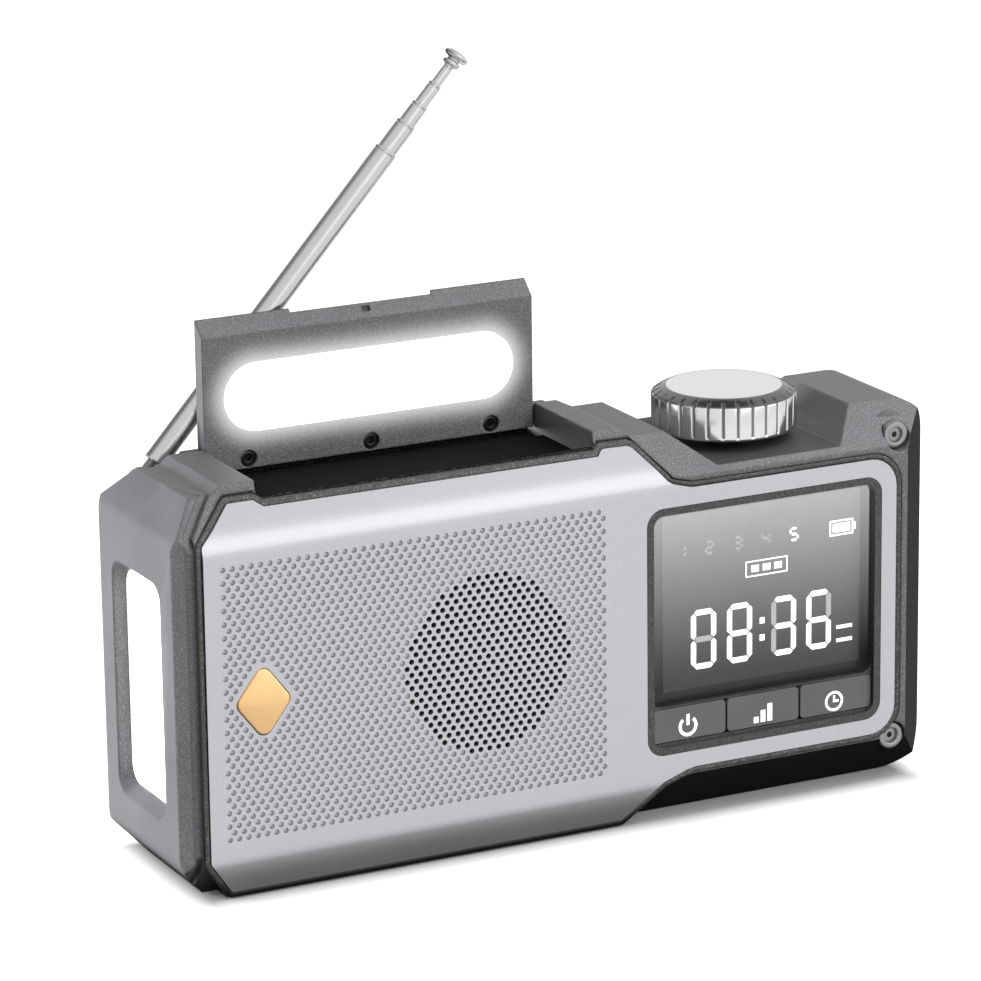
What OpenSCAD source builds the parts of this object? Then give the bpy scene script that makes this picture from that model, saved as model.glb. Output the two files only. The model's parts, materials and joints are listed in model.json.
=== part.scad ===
// Emergency radio with a lift-up lamp lid, a side torch, a tuning knob,
// a telescopic antenna and a folding hand crank at the back.
// Millimetres. +X right, -Y front, +Z up. Origin: centre of the base, on the table.

/* [Case] */
// Width of the case
body_w = 180.6; // [178:0.2:190]
// Depth of the case
body_d = 44; // [44:0.5:50]
// Height of the case at its right end
case_h = 85; // [85:0.5:90]
// How far the blocks beside the lid rise above the rest of the top
block_rise = 2.1; // [1.6:0.1:2.6]
// Wall thickness of the two shells
wall = 2.2; // [1.8:0.1:2.4]
// Width of the 45 degree chamfer round the front and the back
chamfer = 8.2; // [7.8:0.1:8.6]
// Height of the chamfer along the base
base_chamfer = 9.85; // [9:0.1:10.5]
// Thickness of the rubber pads under the base
pad_t = 1.3; // [1.1:0.1:1.6]
// How far the pads stand proud of the base
pad_proud = 0.3; // [0.2:0.05:0.6]

/* [Front panel] */
// Thickness of the metal front panel
panel_t = 1.2; // [0.8:0.1:1.5]
// Width of the rubber seal round the panel
seal_w = 1.4; // [1:0.1:1.6]
// Distance between two holes in a row of the perforation
hole_pitch_x = 2.105; // [2:0.005:2.3]
// Distance between a row of holes and the row after next
hole_pitch_z = 2.9; // [2.7:0.05:3.2]
// Diameter of one speaker hole
hole_d = 1.15; // [0.9:0.05:1.3]
// Radius of the round field of speaker holes
speaker_field_r = 20; // [17:0.5:20]

/* [Display and buttons] */
// Width of the opening in the panel for the display
display_w = 58; // [56:0.5:58]
// Height of the case above and below the display, taken together
display_margin = 29.8; // [29.5:0.1:31]
// Width of the rim of the display bezel
bezel_rim = 1.7; // [1.4:0.1:2]
// Height of the row of buttons under the window
button_h = 7.4; // [6.5:0.1:8]
// Gap between two buttons
button_gap = 0.5; // [0.4:0.05:0.7]
// Travel of every push button
button_travel = 0.8; // [0.5:0.1:0.8]
// Width of the diamond shaped alert button
alert_w = 11.9; // [10:0.1:12.5]
// Height of the diamond shaped alert button
alert_h = 14.5; // [12:0.1:15]

/* [Lid] */
// Length of the lid, from its lower to its free edge
lid_l = 32.4; // [31:0.1:32.4]
// Thickness of the lid
lid_t = 3.5; // [3.4:0.1:3.6]
// Gap between the lid and the blocks beside it
lid_gap = 0.5; // [0.4:0.05:0.6]
// Radius of the two hinge pins
lid_pin_r = 0.75; // [0.6:0.05:0.9]

/* [Tuning knob] */
// Radius of the tuning knob
knob_r = 15.8; // [14:0.1:16.2]
// Height of the tuning knob
knob_h = 9; // [8:0.1:11]
// Number of grooves round the knob
knob_grooves = 30; // [20:2:36]
// Radius of the rotary encoder's shaft
shaft_r = 3; // [2.5:0.1:3.2]

/* [Antenna] */
// Lean of the antenna above the horizontal, as shown
antenna_lean = 47.8; // [40:0.2:60]
// Length of the outer tube
tube_l = 82; // [70:1:84]
// Outer radius of the outer tube
tube_r = 2.5; // [2.3:0.05:2.55]
// Wall of every tube
tube_wall = 0.3; // [0.25:0.01:0.35]
// Sliding gap between two tubes, on the radius
tube_gap = 0.05; // [0.03:0.01:0.06]

/* [Crank] */
// Height left above the crank's dish, and the same below it, on average
dish_margin = 11.5; // [11:0.1:12.5]
// From the wall of the dish to the hinge of the folded grip
grip_inset = 8; // [7.5:0.1:9]
// Radius of the turning grip
grip_r = 3.1; // [2.6:0.1:3.1]
// Radius of the crank's shaft
crank_shaft_r = 3; // [2.4:0.1:3.2]
// Running gap round every turning shaft, on the radius
run_gap = 0.05; // [0.03:0.01:0.08]

/* [Gears] */
// Module of the gears
gear_m = 0.8; // [0.75:0.01:0.82]
// Teeth of the gear on the crank's shaft
crank_teeth = 60; // [56:2:60]
// Teeth of both pinions
pinion_teeth = 12; // [12:1:14]
// Teeth of the wheel on the idler
wheel_teeth = 40; // [36:2:40]
// Thickness of each gear
gear_t = 3; // [2:0.1:3]

/* [Power] */
// Radius of the battery cell
cell_r = 9.2; // [8:0.1:9.4]
// Length of the battery cell
cell_l = 65; // [60:0.5:65]

/* [Hidden] */
eps = 0.01;
arc_steps = 8;
// Limits of the case
xl = -body_w / 2;
xr = body_w / 2;
yf = -body_d / 2;
yb = body_d / 2;
base_z = pad_proud;
block_top = case_h + block_rise;
ledge_z = case_h + 0.3;
pit_z = case_h - 7.1;
deck_z = case_h - 9.6;
chamfer_z = case_h - chamfer;
base_edge = 8.1;
// Left end cap and the groove beside it
cap_step = 4.4;
groove_w = 1.8;
groove_deep = 1.3;
cap_corner_h = 7.3;
cap_face_in = 0.4;
cap_round = 5;
// Knob pit, from the right end
pit_in = [18.4, 24.6, 54.9, 64.2];
knob_x = xr - 41.6;
knob_lift = 2.4;
knob_z = pit_z + knob_lift;
// Panel
panel_bend_top = case_h - 8;
panel_bend_low = base_z + 8.7;
panel_lean = 0.23;
panel_back = yf + panel_t;
wall_front = panel_back + wall;
// Display
disp_x = xr - 43.65;
disp_z = case_h / 2 + 0.3;
display_h = case_h - display_margin;
disp_x0 = disp_x - display_w / 2;
disp_x1 = disp_x + display_w / 2;
disp_z0 = disp_z - display_h / 2;
disp_z1 = disp_z + display_h / 2;
glass_y = yf + 1.2;
glass_t = 1.3;
fit = 0.15;
button_z0 = disp_z0 + bezel_rim + 0.9;
button_z1 = button_z0 + button_h;
window_z0 = button_z1 + button_gap;
button_x0 = disp_x0 + bezel_rim + 0.2;
button_x1 = disp_x1 - bezel_rim - 0.2;
button_w = (button_x1 - button_x0 - 2 * button_gap) / 3;
board_y = yf + 6.7;
board_t = 1.4;
mat_t = 1;
mat_y = board_y - mat_t;
alert_x = xl + 18.4;
alert_z = case_h / 2;
// Speaker
spk_x = xl + 70.1;
spk_z = case_h / 2 + 0.3;
spk_flange_r = speaker_field_r + 1.5;
// Lid and tray, the lid stands open as in the photo
tray_x0 = xl + 21.3;
tray_x1 = xr - 81.1;
tray_floor = case_h - 3.95;
tray_under = tray_floor - 2.75;
tray_trough = tray_floor - 1.2;
tray_t = 1.6;
channel_y = yb - 4.6;
hinge_y = channel_y - 1.9;
hinge_z = case_h - 0.4;
hinge_r = 2.2;
trough_y = hinge_y - 6.5;
tray_lip_z = tray_trough + 0.9;
tray_lip_t = 0.7;
lid_x0 = tray_x0 + lid_gap;
lid_x1 = tray_x1 - lid_gap;
lid_face = hinge_y - 2.7;
lid_back = lid_face + lid_t;
lid_low = hinge_z - 2.7;
lid_top = lid_low + lid_l;
lid_bevel = 3.2;
lamp_z = lid_low + 15.3;
lamp_r = 7.35;
lamp_x = (lid_x0 + lid_x1) / 2;
lamp_half = (lid_x1 - lid_x0) / 2 - 12.2;
dimple_z = hinge_z - 0.65;
dimple_dx = lamp_half + 2.1;
dimple_r = 1.9;
// Antenna
ant_y = yb - 1.6;
ant_x = xl + 10.15;
ant_z = case_h - 5.05;
ant_neck = 5.2;
channel_x1 = xr - 56.6;
out_2 = 7.2;
out_3 = 5;
out_4 = 5.5;
out_rod = 5;
r_2 = tube_r - tube_wall - tube_gap;
r_3 = r_2 - tube_wall - tube_gap;
r_4 = r_3 - tube_wall - tube_gap;
r_rod = r_4 - tube_wall - tube_gap;
len_2 = tube_l - 3;
len_3 = len_2 - 3;
len_4 = len_3 - 3;
len_rod = len_4 - 3;
// Torch
torch_y = 12;
torch_z0 = 18.1;
torch_z1 = case_h - 20;
torch_deep = 2.9;
torch_flare_y = 0.6;
torch_flare_z = 2.3;
lens_t = 1.2;
// Crank and gears
dish_x = xr - 50.3;
dish_z = case_h / 2 + 0.5;
dish_r = case_h / 2 - dish_margin;
crank_throw = dish_r - grip_inset;
grip_l = crank_throw - 9;
dish_deep = 10;
dish_y = yb - dish_deep;
dish_wall = 1.8;
dish_under = dish_y - dish_wall;
arm_y = dish_y + 0.6;
arm_t = 2.8;
arm_w = 9;
grip_y = arm_y + arm_t + grip_r + 0.2;
hinge_x = dish_x - crank_throw;
lug_gap = 4.1;
lug_t = 1.8;
gear_y = dish_y - 8;
wheel_y = gear_y - 5.5;
plate_y = gear_y - 8.2;
plate_t = 1.6;
idler_turn = 215;
idler_d = gear_m * (crank_teeth + pinion_teeth) / 2;
idler_x = dish_x + idler_d * cos(idler_turn);
idler_z = dish_z + idler_d * sin(idler_turn);
rotor_turn = 100.5;
rotor_d = gear_m * (wheel_teeth + pinion_teeth) / 2;
rotor_x = idler_x + rotor_d * cos(rotor_turn);
rotor_z = idler_z + rotor_d * sin(rotor_turn);
axle_r = 1.5;
rotor_r = 1.2;
can_r = 11;
can_l = 8;
// Battery and ports
cell_x0 = xl + 18.5;
cell_y = yb - 13.4;
cell_z = 22.3;
bay_z0 = 12.2;
bay_z1 = 32.6;
bay_x0 = cell_x0 - 2.4;
bay_x1 = cell_x0 + cell_l + 2.4;
door_lip = 2;
door_t = 1.6;
port_x0 = xl + 30;
port_x1 = xl + 68;
port_z0 = case_h - 38;
port_z1 = case_h - 24;
flap_t = 1.5;
flap_gap = 0.3;
port_plate_t = 1.2;
usb_x = port_x0 + 11;
usb_w = 13.2;
usb_h = 5.8;
charge_x = port_x1 - 9;
charge_w = 9;
charge_h = 3.4;
// Fasteners
case_screw_r = 1.4;
case_head_r = 2.9;
boss_r = 3.5;
case_screw_xz = [
    [xl + 10.3, 14], [xl + 10.3, case_h - 15.5], [xl + 90.1, case_h - 14],
    [xr - 12.3, 22], [xr - 12.3, case_h - 21]
];
corner_r = 3;
corner_screw = [[xr - 10.1, yf + 1.8, case_h - 6.7], [xr - 11.3, yf + 0.6, base_z + 9.9]];

// ---------- helpers ----------

// Points on an arc, from angle a0 to a1
function arc(c, r, a0, a1) = [
    for (i = [0:arc_steps])
        let (a = a0 + (a1 - a0) * i / arc_steps)
        [c[0] + r * cos(a), c[1] + r * sin(a)]
];

// A rectangle with round corners
function round_box(x0, z0, x1, z1, r) = concat(
    arc([x1 - r, z0 + r], r, -90, 0),
    arc([x1 - r, z1 - r], r, 0, 90),
    arc([x0 + r, z1 - r], r, 90, 180),
    arc([x0 + r, z0 + r], r, 180, 270)
);

function unit(v) = v / norm(v);
function outward(v) = [v[1], -v[0]];

// The same outline moved outward by g, or inward when g is negative
function grow(p, g) = [
    for (i = [0:len(p) - 1])
        let (
            a = p[(i + len(p) - 1) % len(p)],
            c = p[(i + 1) % len(p)],
            n1 = outward(unit(p[i] - a)),
            n2 = outward(unit(c - p[i]))
        )
        p[i] + g * (n1 + n2) / (1 + n1 * n2)
];

// Draws a 2D shape in the X-Z plane, filling y0 to y1
module along_y(y0, y1) {
    translate([0, y1, 0])
        rotate([90, 0, 0])
            linear_extrude(height = y1 - y0)
                children();
}

// Draws a 2D shape in the Y-Z plane, filling x0 to x1
module along_x(x0, x1) {
    translate([x0, 0, 0])
        rotate([90, 0, 90])
            linear_extrude(height = x1 - x0)
                children();
}

// A round bar along Y
module bar_y(x, z, r, y0, y1) {
    translate([x, y1, z])
        rotate([90, 0, 0])
            cylinder(h = y1 - y0, r = r, $fn = 48);
}

// A round bar along X
module bar_x(y, z, r, x0, x1) {
    translate([x0, y, z])
        rotate([0, 90, 0])
            cylinder(h = x1 - x0, r = r, $fn = 48);
}

module block(a, b) {
    translate(a)
        cube(b - a);
}

// Turns the children so that their Z runs up the leaning antenna
module on_antenna() {
    translate([ant_x, ant_y, ant_z])
        rotate([0, 90 - antenna_lean, 0])
            children();
}

// ---------- outlines ----------

case_points = concat(
    [[xl + 6.9, base_z]],
    arc([xr - 10.5, base_z + 10.5], 10.5, -90, 0),
    arc([xr - 8, case_h - 8], 8, 0, 90),
    [
        [xr - pit_in[0], case_h], [xr - pit_in[1], pit_z],
        [xr - pit_in[2], pit_z], [xr - pit_in[3], case_h],
        [xr - 71.5, case_h], [xr - 75.8, block_top],
        [xl + 13.7, block_top], [xl + 13.7 - block_rise + 0.3, ledge_z],
        [xl + 6.6, ledge_z]
    ],
    arc([xl + cap_round, case_h - cap_corner_h - cap_round * 0.37], cap_round, 139, 180),
    arc([xl + cap_round, base_z + 7.7 + cap_round * 0.38], cap_round, 180, 222)
);

side_points = [
    [yf + base_edge, base_z], [yb - base_edge, base_z],
    [yb, base_z + base_chamfer], [yb, chamfer_z], [yb - chamfer, case_h],
    [yb - chamfer - 0.5, block_top], [yf + chamfer + 0.5, block_top],
    [yf + chamfer, case_h], [yf, chamfer_z], [yf, base_z + base_chamfer]
];

plan_points = [
    [xl, yf + 3.1], [xl + 2.5, yf + cap_face_in], [xl + cap_step, yf + cap_face_in],
    [xl + cap_step, yf], [xr - chamfer, yf], [xr, yf + chamfer],
    [xr, yb - chamfer], [xr - chamfer, yb], [xl + cap_step, yb],
    [xl + cap_step, yb - cap_face_in], [xl + 2.5, yb - cap_face_in], [xl, yb - 3.1]
];

panel_points = concat(
    [
        [xl + 11, base_z + seal_w], [xr - 78.1, base_z + seal_w],
        [xr - 68.7, base_z + 8.9], [xr - 63.3, base_z + 10.8],
        [xr - 60.9, base_z + 11.3]
    ],
    arc([xr - 17, base_z + 17.3], 6, -90, 0),
    arc([xr - 17.5, case_h - 17.3], 6.5, 0, 90),
    [
        [xr - 61.7, case_h - 10.8], [xr - 66.9, case_h - 9.4],
        [xr - 73.3, case_h - 1.6], [xr - 79.9, case_h - 1.5],
        [xr - 81.4, case_h - 2.7], [xl + 21.9, case_h - 2.7],
        [xl + 20.1, case_h - 1.4], [xl + 14.3, case_h - 1.4],
        [xl + 13.3, case_h - 1.9], [xl + 5.9, case_h - 8.1],
        [xl + 5.8, base_z + 8.8]
    ]
);

// Everything behind the outer face of the front panel
panel_solid = [
    [yf + panel_lean * (panel_bend_low + 5), -5], [0, -5], [0, panel_bend_top - yf],
    [yf, panel_bend_top], [yf, panel_bend_low]
];

diamond_points = let (w = alert_w / 2, h = alert_h / 2, c = 1.3) [
    [-c, -h + c * 0.4], [c, -h + c * 0.4], [w - c * 0.4, -c * 0.9], [w - c * 0.4, c * 0.9],
    [c, h - c * 0.4], [-c, h - c * 0.4], [-w + c * 0.4, c * 0.9], [-w + c * 0.4, -c * 0.9]
];

module case_block(g = 0) {
    intersection() {
        along_y(yf - 1, yb + 1)
            polygon(case_points);
        along_x(xl - 1, xr + 1)
            polygon(side_points);
        translate([0, 0, -1])
            linear_extrude(height = block_top + 2)
                polygon(plan_points);
    }
}

// The groove between the end cap and the rest, cut front and back
module cap_groove() {
    x1 = xl + cap_step;
    bend = case_h - 6.6;
    difference() {
        along_y(yf - 1, yb + 1)
            polygon([
                [x1 - groove_w, -1], [x1, -1], [x1, bend], [x1 + 9.5, bend + 9.5],
                [x1 + 9.5 - groove_w * 1.4, bend + 9.5], [x1 - groove_w, bend + groove_w * 0.4]
            ]);
        along_x(xl - 1, xr + 1)
            polygon(grow(side_points, -groove_deep));
    }
}

// The foot of the front, which the panel's lower lip covers
module apron() {
    intersection() {
        along_y(yf, 0)
            polygon([
                [xl + 10.2, base_z], [xr - 77.4, base_z],
                [xr - 67.6, base_z + base_chamfer], [xl + 5.2, base_z + base_chamfer]
            ]);
        along_x(xl, xr)
            polygon([
                [yf + 2.6, base_z], [0, base_z], [0, base_z + base_chamfer],
                [yf, base_z + base_chamfer], [yf, panel_bend_low]
            ]);
    }
}

module cavity() {
    intersection() {
        along_y(yf, yb)
            polygon([
                [xl + 10.5, base_z + wall], [xr - 12, base_z + wall],
                [xr - wall - 1, base_z + 11], [xr - wall - 1, deck_z - 4],
                [xr - wall - 4, deck_z], [xl + 7.8, deck_z], [xl + 7.8, base_z + 8]
            ]);
        along_x(xl, xr)
            polygon([
                [yf + base_edge + 1.4, base_z + wall], [yb - base_edge - 1.4, base_z + wall],
                [yb - wall, base_z + base_chamfer + 1], [yb - wall, deck_z],
                [wall_front, deck_z], [wall_front, base_z + base_chamfer]
            ]);
        linear_extrude(height = case_h)
            polygon([
                [xl, wall_front], [xr - chamfer - 2.2, wall_front],
                [xr - wall - 0.5, yf + chamfer + 2.4], [xr - wall - 0.5, yb - chamfer - 2.4],
                [xr - chamfer - 2.2, yb - wall], [xl, yb - wall]
            ]);
    }
}

// Hollows in the blocks above the deck
module block_hollows() {
    block([xl + 10, yf + 10.5, deck_z - 1], [tray_x0 - 2.4, yb - 10.5, block_top - 2.6]);
    block([tray_x1 + 2.4, yf + 10.5, deck_z - 1], [xr - 66.5, yb - 10.5, case_h - 2.2]);
    block([xr - 14.5, yf + 12.5, deck_z - 1], [xr - 4, yb - 10.5, case_h - 4]);
}

// The place of the lid tray, open at the top
module tray_cut() {
    block([tray_x0, yf - 1, tray_under], [tray_x1, yb + 1, block_top + 5]);
}

module antenna_channel() {
    block([xl + 3.6, channel_y, chamfer_z], [channel_x1, yb + 1, block_top + 1]);
}

// The seat of the panel and its seal
module panel_seat() {
    intersection() {
        along_y(yf - 1, yf + 14)
            polygon(grow(panel_points, seal_w));
        difference() {
            block([xl, yf - 1, -1], [xr, yf + 14, case_h]);
            along_x(xl - 1, xr + 1)
                polygon(grow(panel_solid, -panel_t));
        }
    }
}

module display_opening(g) {
    polygon(round_box(disp_x0 - g, disp_z0 - g, disp_x1 + g, disp_z1 + g, 4 + g));
}

module torch_window(g, y_more, z_more) {
    polygon(round_box(
        -torch_y - g - y_more, torch_z0 - g - z_more,
        torch_y + g + y_more, torch_z1 + g + z_more, 4
    ));
}

// The flared mouth of the torch and the seat of its lens behind it
module torch_mouth() {
    hull() {
        along_x(xl - 0.1, xl)
            torch_window(0, torch_flare_y, torch_flare_z);
        along_x(xl + torch_deep - 0.1, xl + torch_deep)
            torch_window(0, 0, 0);
    }
    along_x(xl + torch_deep - eps, xl + 8)
        torch_window(fit + 1, 0, 0);
}

module case_halves_cut() {
    cavity();
    block_hollows();
    tray_cut();
    cap_groove();
    torch_mouth();
    bar_z(knob_x, 0, shaft_r + 1.1, deck_z - 1, pit_z + 1);
    for (x = pad_x)
        pad_block(x, 0.05, pad_t, -1);
}

module bar_z(x, y, r, z0, z1) {
    translate([x, y, z0])
        cylinder(h = z1 - z0, r = r, $fn = 48);
}

pad_x = [xl + 22, 0, xr - 22];
pad_half = [7, 13.3];

module pad_block(x, g, z1, z0) {
    translate([0, 0, z0])
        linear_extrude(height = z1 - z0)
            polygon(round_box(x - pad_half[0] - g, -pad_half[1] - g,
                x + pad_half[0] + g, pad_half[1] + g, 3));
}

// ---------- case ----------

module front_shell() {
    color([0.22, 0.22, 0.23])
    difference() {
        union() {
            difference() {
                union() {
                    intersection() {
                        case_block();
                        block([xl - 1, yf - 1, -1], [xr + 1, 0, block_top + 1]);
                    }
                    apron();
                }
                case_halves_cut();
                panel_seat();
                along_y(yf - 1, wall_front + 1)
                    display_opening(fit);
                bar_y(spk_x, spk_z, speaker_field_r + 0.3, yf, wall_front + 1);
                along_y(yf, wall_front + 1)
                    translate([alert_x, alert_z])
                        polygon(grow(diamond_points, 0.3));
            }
            for (p = case_screw_xz)
                bar_y(p[0], p[1], boss_r, wall_front - eps, 0);
            for (p = corner_screw)
                bar_y(p[0], p[2], corner_r + 1.6, yf + 5, yf + 13);
        }
        for (p = case_screw_xz)
            bar_y(p[0], p[1], case_screw_r, wall_front + 4, 1);
        for (p = corner_screw)
            corner_screw_hole(p);
    }
}

module corner_screw_hole(p) {
    bar_y(p[0], p[2], corner_r + 0.3, yf - 1, p[1] + 2);
    bar_y(p[0], p[2], case_screw_r, p[1], p[1] + 8.5);
}

module rear_shell() {
    color([0.2, 0.2, 0.21])
    difference() {
        union() {
            difference() {
                union() {
                    intersection() {
                        case_block();
                        block([xl - 1, 0, -1], [xr + 1, yb + 1, block_top + 1]);
                    }
                    lid_ears();
                }
                case_halves_cut();
                antenna_channel();
                along_y(yb - wall - 1, yb + 1)
                    polygon(round_box(bay_x0, bay_z0, bay_x1, bay_z1, 1.5));
                door_seat(0.1, yb + 1);
                port_seat();
            }
            intersection() {
                bar_y(dish_x, dish_z, dish_r + dish_wall, dish_under, yb - 1);
                case_block();
            }
            bar_y(dish_x, dish_z, crank_shaft_r + 4, dish_under - 2, dish_y);
            bar_y(idler_x, idler_z, axle_r + 2, gear_y + gear_t + 0.6, dish_under + eps);
            for (p = case_screw_xz)
                bar_y(p[0], p[1], boss_r, 0, yb - wall + eps);
            bar_y(ant_x, ant_z, 4, channel_y - 5, channel_y);
        }
        bar_y(dish_x, dish_z, dish_r, dish_y, yb + 1);
        bar_y(dish_x, dish_z, crank_shaft_r + 2, dish_under - 3, dish_y + 1);
        bar_y(idler_x, idler_z, axle_r, gear_y, dish_under - 0.5);
        bar_y(ant_x, ant_z, 1.5 + run_gap, channel_y - 4.2, channel_y + 1);
        for (x = [tray_x0 - 5, tray_x1 - 1])
            bar_x(hinge_y, hinge_z, lid_pin_r, x, x + 6);
        for (p = case_screw_xz) {
            bar_y(p[0], p[1], case_screw_r + 0.2, -1, yb);
            bar_y(p[0], p[1], case_head_r + 0.3, yb - 3, yb + 1);
        }
    }
}

// The ears that carry the lid's hinge pins
module lid_ears() {
    for (x = [[tray_x0 - 3.4, tray_x0], [tray_x1, tray_x1 + 3.4]]) {
        bar_x(hinge_y, hinge_z, hinge_r, x[0], x[1]);
        block([x[0], hinge_y - 5, deck_z + 1], [x[1], channel_y, hinge_z]);
    }
}

module door_seat(g, y1) {
    along_y(yb - door_t - 0.4, y1)
        polygon(round_box(bay_x0 - door_lip - g, bay_z0 - door_lip + 0.6 - g,
            bay_x1 + door_lip + g, bay_z1 + door_lip + g, 2));
}

// The window of the port cover, closed at the back by the sockets' plate
module port_seat() {
    along_y(yb - wall - 1, yb + 1)
        polygon(round_box(port_x0 - flap_gap, port_z0 - flap_gap,
            port_x1 + flap_gap, port_z1 + flap_gap, 2));
    block([port_x0 - flap_gap, yb - wall - 1, port_z0 - flap_gap],
        [port_x1 + flap_gap, yb + 1, port_z0 + 3]);
    port_hinge_cut();
}

module port_hinge_cut() {
    bar_x(yb - 1.2, port_z0 + 1, 1 + run_gap, port_x0 - 1.8, port_x1 + 1.8);
}

module socket_block(x, w, h, y0, y1) {
    z = (port_z0 + port_z1) / 2 + 1;
    block([x - w / 2, y0, z - h / 2], [x + w / 2, y1, z + h / 2]);
}

module base_pads() {
    color([0.1, 0.1, 0.1])
    for (x = pad_x)
        pad_block(x, 0, pad_t, 0);
}

module corner_screws() {
    color([0.7, 0.7, 0.72])
    for (p = corner_screw)
        difference() {
            union() {
                bar_y(p[0], p[2], corner_r, p[1], p[1] + 2);
                bar_y(p[0], p[2], case_screw_r, p[1] + 1, p[1] + 8);
            }
            translate([p[0], p[1] + 1.2, p[2]])
                rotate([90, 0, 0])
                    cylinder(h = 2, r = 1.7, $fn = 6);
        }
}

module case_screws() {
    color([0.6, 0.6, 0.62])
    for (p = case_screw_xz)
        difference() {
            union() {
                bar_y(p[0], p[1], case_head_r, yb - 3, yb - 1);
                bar_y(p[0], p[1], case_screw_r, wall_front + 6, yb - 2);
            }
            for (a = [0, 90])
                translate([p[0], yb - 1, p[1]])
                    rotate([0, a, 0])
                        cube([3.4, 1.6, 0.8], center = true);
        }
}

// ---------- front ----------

module front_panel() {
    color([0.78, 0.78, 0.8])
    difference() {
        intersection() {
            along_y(yf - 1, yf + 14)
                polygon(panel_points);
            difference() {
                along_x(xl, xr)
                    polygon(panel_solid);
                along_x(xl - 1, xr + 1)
                    polygon(grow(panel_solid, -panel_t));
            }
        }
        along_y(yf - 1, yf + 3)
            display_opening(0);
        along_y(yf - 1, yf + 3)
            translate([alert_x, alert_z])
                polygon(grow(diamond_points, 0.25));
        speaker_holes();
    }
}

module speaker_holes() {
    n = ceil(speaker_field_r / (hole_pitch_x / 2)) + 1;
    along_y(yf - 1, yf + 3)
        for (i = [-n:n], j = [-n:n])
            if ((i + j) % 2 != 0
                && norm([i * hole_pitch_x / 2, j * hole_pitch_z / 2]) < speaker_field_r - hole_d / 2)
                translate([spk_x + i * hole_pitch_x / 2, spk_z + j * hole_pitch_z / 2])
                    circle(d = hole_d, $fn = 6);
}

module panel_seal() {
    color([0.15, 0.15, 0.16])
    intersection() {
        difference() {
            along_y(yf - 1, yf + 14)
                polygon(grow(panel_points, seal_w));
            along_y(yf - 2, yf + 15)
                polygon(grow(panel_points, 0.15));
        }
        difference() {
            along_x(xl, xr)
                polygon(panel_solid);
            along_x(xl - 1, xr + 1)
                polygon(grow(panel_solid, -panel_t));
        }
        difference() {
            block([xl, yf - 1, base_z], [xr, 0, case_h]);
            for (p = corner_screw)
                bar_y(p[0], p[2], corner_r + 0.3, yf - 1, 0);
        }
    }
}

module display_bezel() {
    color([0.13, 0.13, 0.14])
    difference() {
        along_y(yf, wall_front - 0.1)
            display_opening(-0.1);
        along_y(yf - 1, glass_y)
            polygon(round_box(disp_x0 + bezel_rim, disp_z0 + bezel_rim,
                disp_x1 - bezel_rim, disp_z1 - bezel_rim, 2.6));
        along_y(yf, wall_front + 1)
            polygon(round_box(disp_x0 + bezel_rim, window_z0,
                disp_x1 - bezel_rim, disp_z1 - bezel_rim, 2.4));
        along_y(yf, wall_front + 1)
            polygon(round_box(button_x0 - 0.1, button_z0 - 0.25,
                button_x1 + 0.1, button_z1 + 0.2, 1.2));
    }
}

module display_window() {
    color([0.3, 0.3, 0.32, 0.6])
    along_y(glass_y, glass_y + glass_t)
        polygon(round_box(disp_x0 + bezel_rim + 0.05, window_z0 + 0.05,
            disp_x1 - bezel_rim - 0.05, disp_z1 - bezel_rim - 0.05, 2.35));
}

module lcd_module() {
    color([0.5, 0.55, 0.5])
    union() {
        block([disp_x0 + 4, glass_y + glass_t, window_z0 + 1.5],
            [disp_x1 - 4, glass_y + glass_t + 1.6, disp_z1 - 4]);
        block([disp_x0 + 5.5, glass_y + glass_t + 1.5, window_z0 + 3],
            [disp_x1 - 5.5, board_y, disp_z1 - 5.5]);
    }
}

module push_button(i) {
    x0 = button_x0 + i * (button_w + button_gap);
    color([0.27, 0.27, 0.28])
    union() {
        along_y(glass_y - 0.2, glass_y + 1.6)
            polygon(round_box(x0, button_z0, x0 + button_w, button_z1, 0.9));
        block([x0 + button_w / 2 - 2, glass_y + 1.5, button_z0 + button_h / 2 - 2],
            [x0 + button_w / 2 + 2, mat_y - button_travel - 0.1, button_z0 + button_h / 2 + 2]);
    }
}

module power_button() {
    push_button(0);
}

module band_button() {
    push_button(1);
}

module alarm_button() {
    push_button(2);
}

module button_mat() {
    color([0.75, 0.75, 0.72])
    block([button_x0 + 1, mat_y, button_z0 + 0.4],
        [button_x1 - 1, board_y, button_z1 - 0.4]);
}

module front_board() {
    color([0.1, 0.35, 0.2])
    block([disp_x0 - 1, board_y, disp_z0 - 1], [disp_x1 - 2.2, board_y + board_t, disp_z1 - 2]);
}

module alert_button() {
    color([1, 0.72, 0.42])
    union() {
        along_y(yf - 0.5, panel_back + 1)
            translate([alert_x, alert_z])
                polygon(diamond_points);
        block([alert_x - 2, panel_back + 0.9, alert_z - 2],
            [alert_x + 2, mat_y - button_travel - 0.1, alert_z + 2]);
    }
}

module main_board() {
    color([0.08, 0.32, 0.18])
    union() {
        block([xl + 15, board_y, 8], [spk_x - spk_flange_r - 1.5, board_y + board_t, case_h - 14]);
        block([alert_x - 3, mat_y, alert_z - 3], [alert_x + 3, board_y + eps, alert_z + 3]);
        block([xl + 20, board_y + board_t - eps, alert_z + 7.5],
            [xl + 32, board_y + board_t + 1.6, alert_z + 19.5]);
        block([xl + 35, board_y + board_t - eps, 30], [xl + 42, board_y + board_t + 1.2, 37]);
    }
}

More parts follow.
